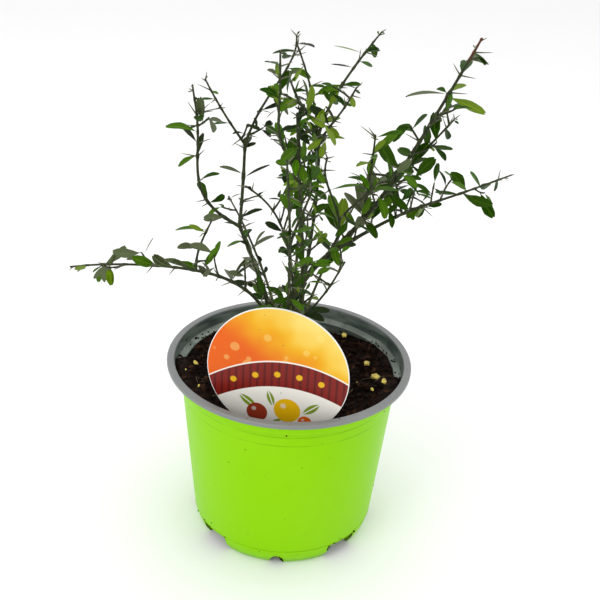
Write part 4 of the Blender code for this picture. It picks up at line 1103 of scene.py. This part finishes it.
young_bark, place, shader = new_finish("young_bark", 0.6, 0.18)
axes = axes_of(place)
ribs = fog(stretched(place, (1500.0, 1500.0, 260.0)), 1.0, 3.0, 0.3)
patches = fog(place, 140.0)
near_soil = fade(axes["Z"], 0.150, 0.105) * fade(patches, 0.35, 0.6)
corky = fade(axes["Z"], 0.103, 0.092) * fade(ribs, 0.3, 0.6)
red_tip = fade(axes["Z"], 0.266, 0.272) * fade(axes["X"], 0.05, 0.06)
tone = layered(
    BARK_DARK,
    (fade(ribs, 0.35, 0.7), BARK_OLIVE),
    (near_soil * 0.8, BARK_GREEN),
    (corky * 0.8, BARK_CORK),
    (red_tip * 0.55, BARK_RED_TIP),
)
paint(shader, tone, bump(ribs, 0.12 * MM, 0.7), patches * 0.25 + 0.45)

trunk_radii = []
for share in shares_of(0.0, 1.0, TRUNK_STEPS):
    flare = (TRUNK_FLARE_RADIUS - TRUNK_RADIUS) * math.exp(-share * 7.0)
    crown = 1.0 - 0.25 * max(0.0, share - 0.8) / 0.2
    trunk_radii.append((TRUNK_RADIUS * 0.97 + flare * 0.9) * crown)
trunk_centres = [TRUNK_FOOT.lerp(TRUNK_TOP, share) for share in shares_of(0.0, 1.0, TRUNK_STEPS)]
parts = [stem(trunk_centres, trunk_radii, 36, 0.07, 3.0)]
for name, share in BOUGHS.items():
    seed = 5.0 + len(parts)
    parts.append(limb_stem(limbs[name], 0.0, share, 14, 0.9 * MM, 0.09, seed, tip_closed=share == 1))
mesh = joined_mesh("trunk_and_boughs", parts)
smooth_over(mesh, 75)
trunk_and_boughs = add_object("trunk_and_boughs", mesh, young_bark)
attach(trunk_and_boughs, "root")
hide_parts("trunk", *[f"bough_{name}" for name in BOUGHS])

# Foliage. Each mass is the shoots past their bare length, with side twigs, small notched leaves,
# and stiff thorns in the leaf axils. Every node grows by its two letters, as in the solids.
SPACE_X = 115 * MM
SPACE_Y = 97 * MM
SPACE_TOP = 285 * MM
SOIL_ROUGHNESS = 1.3 * MM
THORN_RADIUS = 0.36 * MM
SHORTEST = {"leaf": 6 * MM, "thorn": 8 * MM}
SIDE_TWIG_RADIUS = 0.45 * MM
SIDE_TWIG_TIP_RADIUS = 0.35 * MM
BEAD_STEP = 1.2 * MM
TUBE_SLACK = 0.2 * MM
SIDE_TWIG_CHANCE = 0.2
ONE_LEAF_BELOW = 0.65
THREE_LEAVES_ABOVE = 0.92
THORN_CHANCE = 0.55
SPRAY_TONE_CHANCE = 0.8

# The finest growth at a node, at a tip and just below it: the chances of a leaf and of a spine,
# the lengths of each in mm, and how far the spine leans forward.
FINER_GROWTH = ((0.15, 0.75), (3.0, 5.0), (4.0, 9.0), (0.1, 0.7))
TIP_GROWTH = ((0.7, 1.0), (2.0, 3.2), (3.0, 5.5), (0.5, 2.0))
END_GROWTH = ((0.5, 1.0), (2.2, 3.6), (2.5, 5.0), (0.6, 1.4))

# Each mass, the shoots that carry it, and how its sprays are coloured: the chance of each leaf tone.
TONES = ("deep", "mid", "fresh", "gray", "shade_dark")
MASSES = {
    "far_left": (["far_left", "far_left_up"], (0, 2, 3, 4, 0)),
    "left": (["left", "left_tall", "left_inner", "left_inner_out", "left_inner_in"], (4, 1, 0, 3, 4)),
    "thin_left": (["thin_left", "thin_left_side"], (2, 1, 0, 3, 4)),
    "centre": (["centre", "centre_top", "centre_thin"], (4, 4, 3, 0, 1)),
    "centre_right": (["centre_right", "right_up", "right_up_low"], (4, 4, 3, 0, 1)),
    "right_low": (["right_low", "right_low_up", "right_low_mid"], (5, 3, 1, 0, 0)),
    "right_tall": (["right_tall", "right_tall_mid", "right_tall_side"], (4, 2, 1, 4, 0)),
    "right_inner": (["right_inner", "right_fill"], (5, 4, 1, 0, 0)),
    "back": (["back", "back_up"], (2, 1, 0, 2, 3)),
    "front": (["front", "front_side"], (4, 3, 2, 0, 1)),
    "front_left": (["front_left"], (3, 2, 0, 1, 2)),
    "back_left": (["back_left"], (2, 1, 0, 2, 3)),
    "back_right": (["back_right"], (3, 2, 0, 1, 2)),
    "low_right": (["low_right"], (3, 2, 0, 2, 2)),
    "tuft_left": (["tuft_left"], (2, 1, 0, 1, 4)),
    "tuft_right": (["tuft_right"], (1, 2, 2, 4, 1)),
    "tuft_back": (["tuft_back"], (1, 2, 2, 4, 1)),
}

# Where the leaves start on each limb, its shortest and longest leaf in mm, and its habit: two
# letters for each node, which seed what grows there.
HABITS = {
    "far_left": (0.3, (8, 17), "iiggfgchacvfqwsfgogfiehk"),
    "far_left_up": (0.08, (8, 15), "bmchqh"),
    "left": (0.36, (9, 17), "pxxwisabbe"),
    "left_tall": (0.03, (7, 17), "hdakdncydxlnrrzvph"),
    "left_inner": (0.05, (10, 17), "zipzwjbg"),
    "left_inner_out": (0.03, (5, 11), "kgrzelkqwb"),
    "left_inner_in": (0.03, (6, 15), "nmvjjwlvnuboaw"),
    "thin_left": (0.4, (6, 13), "auqwhyksuonwwqlwub"),
    "thin_left_side": (0.1, (6, 12), "mohmrh"),
    "centre": (0.34, (8, 16), "izzxbjkvepariiyxhmcusvcdjx"),
    "centre_top": (0.05, (8, 14), "fmttxgxx"),
    "centre_thin": (0.03, (7, 15), "memmjjacnrmfvqdk"),
    "centre_right": (0.3, (7, 15), "nvbcfgccdufxxcpmxuzpchffefwc"),
    "right_up": (0.03, (7, 15), "ylxxnilezrmmni"),
    "right_up_low": (0.03, (8, 16), "hahnmzabwculnoyo"),
    "right_low": (0.06, (9, 18), "jxqwfgkvkdeaifcmopqxms"),
    "right_low_up": (0.1, (10, 16), "sjwgteso"),
    "right_low_mid": (0.1, (8, 13), "qmnxxd"),
    "right_tall": (0.05, (10, 19), "gkqwrhckxuchwvpmvsuhbzudbjuloo"),
    "right_tall_mid": (0.05, (9, 17), "slcveajmpkesmnoq"),
    "right_tall_side": (0.05, (9, 16), "kqkmvxxjjk"),
    "right_inner": (0.1, (11, 19), "utcvrfertwskonrrsxpe"),
    "right_fill": (0.05, (10, 17), "pwpgidnibk"),
    "back": (0.35, (8, 14), "lzbazwgtdwhciznjgqwq"),
    "back_up": (0.05, (8, 14), "egyaswiy"),
    "front": (0.3, (7, 13), "evfzaoszgwrcjsbcrhvuewkiwt"),
    "front_side": (0.05, (7, 13), "cerkklmx"),
    "front_left": (0.3, (7, 13), "aprmdjzqmwfbjtjsqn"),
    "back_left": (0.3, (7, 13), "jxhkvzhuvwdsjlsxiqfo"),
    "back_right": (0.3, (8, 15), "uubaefqoplozrfbngp"),
    "low_right": (0.35, (7, 13), "gkhndjwdjglykc"),
    "tuft_left": (0.25, (9, 18), "jxfzxnqjik"),
    "tuft_right": (0.2, (6, 10), "apqwihpnhqodxybjsc"),
    "tuft_back": (0.2, (6, 10), "jxqwoxutji"),
}

# Single leaves that stand out: the share of the limb's length they leave at, where the tip lies
# from the foot in mm, the width in mm, and how far the face leans from up to the front in degrees.
LONE_LEAVES = {
    "far_left": [(0.89, (10.5, 4.5, 9), 5, 40)],
    "far_left_up": [(0.82, (-15.5, 0, 0), 5, 0)],
    "left_tall": [(0.7, (-15.5, 1, 2), 5, 25), (0.56, (-9.5, -2.5, -4.5), 4, 20)],
    "left_inner": [(0.61, (13, 4, 7.5), 4, 0)],
    "right_up": [
        (0.46, (-12, -2.5, -4.5), 5, 40), (0.62, (-11.5, 0.5, 1), 4, 0), (0.76, (-15, 2, 4), 4, -5),
    ],
    "right_low": [
        (0.47, (-7.5, -3, -5.5), 5, 60), (0.72, (-13, 0, 0.5), 5, 15), (0.76, (-9, 4.5, 8.5), 7, 70),
    ],
    "right_tall": [(0.78, (18.5, -2.5, -5), 6, 30), (0.79, (-19.5, 0, 0), 5, 0)],
}


def limb_beads(limb, start=0.0, end=1.0):
    """Balls along the limb, one row each of x, y, z and radius."""
    shares = shares_of(start, end, max(1, int(limb.length(start, end) / BEAD_STEP)))
    return np.array([[*limb.point(t), limb.radius(t) + TUBE_SLACK] for t in shares])


def grown(kind, foot, way, length, **more):
    """A leaf or thorn: its foot, the way it points and its length; on is the twig that carries it."""
    return {"kind": kind, "foot": foot, "way": way, "length": length, "on": None, **more}


def make_leaf(rng, foot, axis, angle, length, on=None):
    """One leaf: it points outward and forward from its twig and its face looks mostly up."""
    lean = rng.uniform(0.0, 0.9)
    point = across(axis, angle) + axis * lean
    point[2] += rng.uniform(-0.5, 0.35)
    point = unit(point)
    face = np.array([rng.gauss(0, 0.5), rng.gauss(0, 0.5), 0.7]) + axis * 0.3
    face = unit(face - point * (face @ point))
    width = length * rng.uniform(0.34, 0.46)
    return grown("leaf", foot, point, length, face=face, width=width, on=on)


def lone_leaf(limb, share, reach, width, lean):
    """A leaf placed from its row."""
    reach = np.array(reach) * MM
    length = float(np.linalg.norm(reach))
    lean = math.radians(lean)
    face = np.array([0.0, -math.sin(lean), math.cos(lean)])
    face = unit(face - reach * (face @ reach) / length**2)
    return grown("leaf", limb.point(share), reach / length, length, face=face, width=width * MM)


def grow_node(limb, k, count, syllable, start, sizes):
    """What one node of a limb carries: leaves or a side twig of three, and often a thorn."""
    rng = random.Random(f"{syllable}{k}")
    share = (k + 0.5 + rng.uniform(-0.42, 0.42)) / count
    t = start + (1 - start) * share
    foot, axis = limb.point(t), limb.axis(t)
    angle = rng.uniform(0, 2 * math.pi)
    size = rng.triangular(sizes[0] * MM, sizes[1] * MM)
    items = []
    kind = rng.random()
    if kind < SIDE_TWIG_CHANCE:
        way = unit(across(axis, angle) + axis * rng.uniform(0.2, 1.0) + UP * 0.2)
        tip = foot + way * (rng.uniform(7.0, 16.0) * MM)
        bend = across(axis, angle + 1.2) * MM
        twig = Limb(foot, tip, bend, np.zeros(3), SIDE_TWIG_RADIUS, SIDE_TWIG_TIP_RADIUS)
        items.append({"kind": "twig", "limb": twig, "on": None})
        turn = rng.uniform(0, 6.28)
        for spot in (0.5, 0.8, 1.0):
            length = size * rng.uniform(0.6, 1.0)
            items.append(make_leaf(rng, twig.point(spot), twig.axis(spot), turn, length, on=0))
            turn += 2.4 + rng.gauss(0, 0.4)
    else:
        for _ in range(1 if kind < ONE_LEAF_BELOW else 3 if kind > THREE_LEAVES_ABOVE else 2):
            items.append(make_leaf(rng, foot, axis, angle, size))
            angle += rng.choice((-1, 1)) * rng.uniform(0.7, 2.2)
            size *= rng.uniform(0.55, 0.95)
    if rng.random() < THORN_CHANCE:
        way = unit(across(axis, angle + rng.uniform(-0.9, 0.9)) + axis * rng.uniform(0.0, 0.8))
        items.append(grown("thorn", foot, way, rng.uniform(4.5, 10.5) * MM))
    return items, t


def grow_finer(seed, limb, t, chances, leaf_sizes, thorn_sizes, forward):
    """The finest growth at a node or a tip: a leaf under 6 mm and a slim spine."""
    rng = random.Random(seed)
    items = []
    foot, axis = limb.point(t), limb.axis(t)
    if rng.random() < chances[0]:
        angle = rng.uniform(0, 2 * math.pi)
        items.append(make_leaf(rng, foot, unit(axis), angle, rng.uniform(*leaf_sizes) * MM))
    if rng.random() < chances[1]:
        angle = rng.gauss(0.3, 0.7) + math.pi * rng.randint(0, 1)
        way = unit(across(axis, angle) + axis * rng.uniform(*forward))
        items.append(grown("thorn", foot, way, rng.uniform(*thorn_sizes) * MM))
    return items


def item_beads(item):
    """Balls that cover a leaf, thorn or side twig."""
    if item["kind"] == "twig":
        return limb_beads(item["limb"])
    foot, way, length = item["foot"], item["way"], item["length"]
    if item["kind"] == "thorn":
        shares = (0.2, 0.4, 0.6, 0.8, 1.0)
        return np.array([[*(foot + way * length * share), THORN_RADIUS] for share in shares])
    side = np.cross(item["face"], way) * item["width"]
    rows = []
    for along, wide in ((0.12, 0.0), (0.3, 0.2), (0.45, 0.3), (0.6, 0.34), (0.75, 0.32), (0.9, 0.22)):
        for hand in ((-1, 1) if wide else (0,)):
            rows.append([*(foot + way * along * length + side * wide * hand), 0.09 * length + 0.2 * MM])
    return np.array(rows)


def in_space(beads):
    """Whether balls stay inside the plant's space and off the soil, the pot and the label."""
    x, y, z, radius = beads.T
    out = np.hypot(x, y)
    if max((np.abs(x) + radius).max() - SPACE_X, (np.abs(y) + radius).max() - SPACE_Y) > 0.0:
        return False
    if (z + radius > SPACE_TOP).any() or (z - radius < SOIL_HEIGHT + SOIL_ROUGHNESS + CLEAR).any():
        return False
    wall = WALL_TOP_RADIUS - WALL - CLEAR
    if ((z - radius < POT_HEIGHT + CLEAR) & (out + radius > wall)).any():
        return False
    flat, deep = label_side(x, y)
    near = np.abs(deep) < LABEL_THICKNESS / 2 + CLEAR + radius
    return not (near & (np.hypot(flat, z - LABEL_CENTRE.z) < LABEL_RADIUS + CLEAR + radius)).any()


def clear_of(beads, others):
    """Whether balls keep the clearance from every ball of the other masses and boughs."""
    gaps = np.linalg.norm(others[:, None, :3] - beads[None, :, :3], axis=2)
    return (gaps - others[:, None, 3] - beads[None, :, 3]).min() > CLEAR


def first_free_share(name):
    """The share of a mass's first shoot where it is free of the crown or of its parent."""
    limb = limbs[name]
    parent, place = LIMBS[name][:2]
    if name in BOUGHS:
        return BOUGHS[name] + CLEAR / limb.length() * 1.2
    if parent == "trunk":
        return 0.0
    axis = limbs[parent].axis(place)
    if place == 1.0:
        seat, reach = axis, float(axis @ limbs[parent].point(1.0)) + CLEAR
    else:
        seat = unit(limb.axis(0.0) - axis * (limb.axis(0.0) @ axis))
        reach = float(seat @ limbs[parent].point(place)) + limbs[parent].radius(place) * 1.05 + CLEAR
    for k in range(401):
        if seat @ limb.point(k / 400) >= reach:
            return k / 400
    return 0.0


# A leaf blade: a short stalk, widest past its middle, blunt and notched at its tip.
BLADE = [
    (0.0, 0.09), (0.09, 0.08), (0.17, 0.26), (0.29, 0.54), (0.43, 0.80),
    (0.58, 0.92), (0.72, 0.88), (0.85, 0.68), (0.95, 0.40), (1.0, 0.18),
]
LEAF_FOLD = (0.2, 0.55)
LEAF_DROOP = (-0.02, 0.14)
NOTCH_DEPTH = 0.045


def leaf_blade(leaf, rng):
    foot, way, face, length = leaf["foot"], leaf["way"], leaf["face"], leaf["length"]
    fold, droop = rng.uniform(*LEAF_FOLD), rng.uniform(*LEAF_DROOP)
    twist, sway = rng.gauss(0, 0.16), rng.gauss(0, 0.05)
    blunt = rng.uniform(0.9, 1.12)
    side = np.cross(face, way)
    points, marks = [], []
    for row, (share, wide) in enumerate(BLADE):
        half = 0.47 * leaf["width"] * (wide if row < 2 else wide ** blunt)
        line = foot + way * (length * share)
        line = line + side * (length * sway * math.sin(math.pi * share))
        line = line - face * (length * droop * share * share)
        roll = twist * share
        flat = side * math.cos(roll) + face * math.sin(roll)
        lift = face * math.cos(roll) - side * math.sin(roll)
        for hand in (-1, 0, 1):
            notch = NOTCH_DEPTH * length if row == len(BLADE) - 1 and hand == 0 else 0.0
            crimp = 1.0 + 0.05 * math.sin(row * 2.4 + hand + 9.0 * fold)
            reach = flat * (hand * half * crimp) + lift * (abs(hand) * half * fold)
            points.append(line + reach - way * notch)
            marks.append((0.5 + 0.5 * hand, share))
    faces = [(low, low + 1, low + 4, low + 3) for low in range(3 * len(BLADE) - 3) if low % 3 < 2]
    return np.array(points), faces, marks


def thorn_spike(thorn, rng):
    foot, way, length = thorn["foot"], thorn["way"], thorn["length"]
    side = across(way, 0.0)
    other = np.cross(way, side)
    curl = (side * rng.gauss(0, 0.03) + other * rng.gauss(0, 0.03)) * length
    points, marks = [], []
    for share, reach in ((0.0, 1.35), (0.12, 1.05), (0.45, 0.8), (0.8, 0.5)):
        spot = foot + way * (length * share) + curl * share * share
        for j in range(5):
            a = 2 * math.pi * j / 5
            points.append(spot + (side * math.cos(a) + other * math.sin(a)) * THORN_RADIUS * reach)
            marks.append((j / 5, share))
    points.append(foot + way * length + curl)
    marks.append((0.5, 1.0))
    faces = tube_faces(5, 3) + [(15 + j, 15 + (j + 1) % 5, 20) for j in range(5)]
    return np.array(points), faces, marks


def marked_mesh(name, parts, finishes=None):
    """Joins leaves or spikes and keeps each point's place across and along its own as the mesh's map."""
    mesh = joined_mesh(name, parts, finishes)
    marks = np.array([mark for part in parts for mark in part[2]], np.float32)
    corners = np.zeros(len(mesh.loops), np.int32)
    mesh.loops.foreach_get("vertex_index", corners)
    mesh.uv_layers.new(name="blade").data.foreach_set("uv", marks[corners].ravel())
    return mesh


def blade_map(place):
    return axes_of(shader_node(place.tree, "ShaderNodeUVMap", uv_map="blade")["UV"])


# Leaf surface: a pale midrib, faint side veins, oil-gland dots and a slow mottle. The mottle also
# lays lit and shaded copies of each tone over the leaves: painted light and shade.
leaf_skin, leaf = new_group("leaf_skin", {"Blade": 0.0, "Along": 0.0, "Place": None})
off_rib = abs(leaf["Blade"] - 0.5)
vein_wave = ((leaf["Along"] - off_rib * 0.42) * 56.0).sine()
end_group(leaf_skin, {
    "Midrib": fade(off_rib, 0.075, 0.02),
    "Veins": fade(vein_wave, 0.7, 0.98),
    "Margin": fade(off_rib, 0.41, 0.49),
    "Glands": fade(cells(leaf["Place"], 2600.0)["Distance"], 0.3, 0.16),
    "Mottle And Painted Light": fade(fog(leaf["Place"], 210.0, 3.0), 0.3, 0.7),
})

# Upper face, rib and lower face of each leaf tone; the near-black tone is painted shade, for leaves
# that lie in shade.
LEAF_TONES = {
    "deep": ((0.007, 0.036, 0.0003, 1.0), (0.048, 0.115, 0.003, 1.0), (0.018, 0.052, 0.002, 1.0)),
    "mid": ((0.029, 0.106, 0.0006, 1.0), (0.11, 0.23, 0.006, 1.0), (0.048, 0.115, 0.005, 1.0)),
    "fresh": ((0.095, 0.180, 0.002, 1.0), (0.22, 0.32, 0.015, 1.0), (0.12, 0.19, 0.015, 1.0)),
    # The gray-olive tone is partly the leaves' own colour and partly painted sheen on their tops.
    "gray": ((0.056, 0.070, 0.030, 1.0), (0.12, 0.145, 0.070, 1.0), (0.080, 0.096, 0.050, 1.0)),
    "shade_dark": ((0.006, 0.013, 0.003, 1.0), (0.026, 0.040, 0.012, 1.0), (0.015, 0.024, 0.009, 1.0)),
}

LEAF_GLOSS = {"deep": 0.14, "mid": 0.16, "fresh": 0.16, "gray": 0.25, "shade_dark": 0.08}
THORN_GRAY = (0.050, 0.060, 0.030, 1.0)
THORN_TIP = (0.13, 0.115, 0.075, 1.0)
THORN_MOSS = (0.12, 0.13, 0.06, 1.0)


def leaf_finish(name):
    upper, rib, lower = LEAF_TONES[name]
    finish, place, shader = new_finish(f"leaf_{name}", 0.45, LEAF_GLOSS[name])
    shader["Specular Tint"].default_value = (0.45, 0.8, 0.15, 1.0)
    blade = blade_map(place)
    skin = place_group(leaf_skin, {"Blade": blade["X"], "Along": blade["Y"], "Place": place})
    # Lit and shaded copies of the upper colour, spread at random by the mottle: painted light and shade.
    painted_light_tone, painted_shade_tone = (tuple(share * c for c in upper[:3]) + (1.0,) for share in (1.5, 0.42))
    # The pale margin is partly the leaf's own pale edge and partly a painted highlight along it.
    ribs = skin["Midrib"].larger(skin["Margin"])
    behind = shader_node(place.tree, "ShaderNodeNewGeometry")["Backfacing"]
    tone = layered(
        painted_light_tone,
        (skin["Mottle And Painted Light"], painted_shade_tone),
        (skin["Veins"] * 0.4, rib),
        (skin["Glands"] * 0.3, rib),
        (ribs * 0.8, rib),
        (behind, mix(skin["Midrib"] * 0.6, lower, rib)),
    )
    relief = skin["Glands"] * 0.3 - (skin["Midrib"] + skin["Veins"])
    paint(shader, tone, bump(relief, 0.06 * MM, 0.7), skin["Mottle And Painted Light"] * 0.14 + 0.36)
    return finish


leaf_finishes = [leaf_finish(name) for name in TONES]
thorn_wood, place, shader = new_finish("thorn_wood", 0.5)
tone = mix(fade(blade_map(place)["Y"], 0.1, 0.8), THORN_GRAY, THORN_TIP)
paint(shader, mix(fog(place, 900.0) * 0.4, tone, THORN_MOSS))

# A leaf, twig or thorn that would cross another mass, the pot or the label is left out, and so are
# the leaves on such a twig. The largest growth is also in the solids, and later masses avoid it.
taken = {f"bough_{name}": limb_beads(limbs[name], 0.0, share) for name, share in BOUGHS.items()}
for mass, (names, _) in MASSES.items():
    first = first_free_share(names[0])
    starts = [first, *[0.0] * (len(names) - 1)]
    taken[mass] = np.concatenate([limb_beads(limbs[name], t) for name, t in zip(names, starts)])

for mass, (names, chances) in MASSES.items():
    others = np.concatenate([beads for other, beads in taken.items() if other != mass])
    leaves, leaf_marks, twigs, thorns = [], [], [], []
    for name in names:
        limb = limbs[name]
        first, sizes, word = HABITS[name]
        count = len(word) // 2
        sprays = [([lone_leaf(limb, *row)], row[0], 0) for row in LONE_LEAVES.get(name, [])]
        for k in range(count):
            items, t = grow_node(limb, k, count, word[2 * k:2 * k + 2], first, sizes)
            finer = grow_finer(f"finer {name} {k}", limb, t, *FINER_GROWTH)
            sprays.append((items + finer, t, len(finer)))
        tip = grow_finer(f"tip {name}", limb, 0.99, *TIP_GROWTH)
        tip += grow_finer(f"end {name}", limb, 0.96, *END_GROWTH)
        sprays.append((tip, 1.0, len(tip)))
        for number, (items, t, finer_count) in enumerate(sprays):
            rng = random.Random(f"spray {name} {number}")
            tone = rng.choices(range(len(TONES)), chances)[0]
            dropped = False
            for place, item in enumerate(items):
                if item["on"] is not None and dropped:
                    continue
                beads = item_beads(item)
                if not in_space(beads) or not clear_of(beads, others):
                    dropped = dropped or item["kind"] == "twig"
                    continue
                if item["kind"] == "twig":
                    seed = rng.uniform(0, 50)
                    twigs.append(limb_stem(item["limb"], 0.0, 1.0, 6, 1.1 * MM, 0.08, seed, (0.5, 0.8)))
                elif item["kind"] == "leaf":
                    leaves.append(leaf_blade(item, rng))
                    own_tone = rng.random() >= SPRAY_TONE_CHANCE
                    leaf_marks.append(rng.choices(range(len(TONES)), chances)[0] if own_tone else tone)
                else:
                    thorns.append(thorn_spike(item, rng))
                in_solids = item["kind"] == "twig" or item["length"] >= SHORTEST[item["kind"]]
                if in_solids and place < len(items) - finer_count:
                    taken[mass] = np.concatenate([taken[mass], beads])
        start = BOUGHS.get(name, 0.0)
        swellings = [t for _, t, _ in sprays if start < t < 1.0]
        twigs.append(limb_stem(limb, start, 1.0, 9, 0.9 * MM, 0.08, 7.0 + len(name), swellings))
    mesh = marked_mesh(f"leaves_{mass}", leaves, leaf_marks)
    mesh.shade_smooth()
    spray = add_object(f"leaves_{mass}", mesh, *leaf_finishes)
    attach(spray, "root")
    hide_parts(f"foliage_{mass}")
    mesh = joined_mesh(f"twigs_{mass}", twigs)
    mesh.shade_smooth()
    shoots = add_object(f"twigs_{mass}", mesh, young_bark)
    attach(shoots, "root")
    if thorns:
        mesh = marked_mesh(f"thorns_{mass}", thorns)
        mesh.shade_smooth()
        spikes = add_object(f"thorns_{mass}", mesh, thorn_wood)
        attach(spikes, "root")
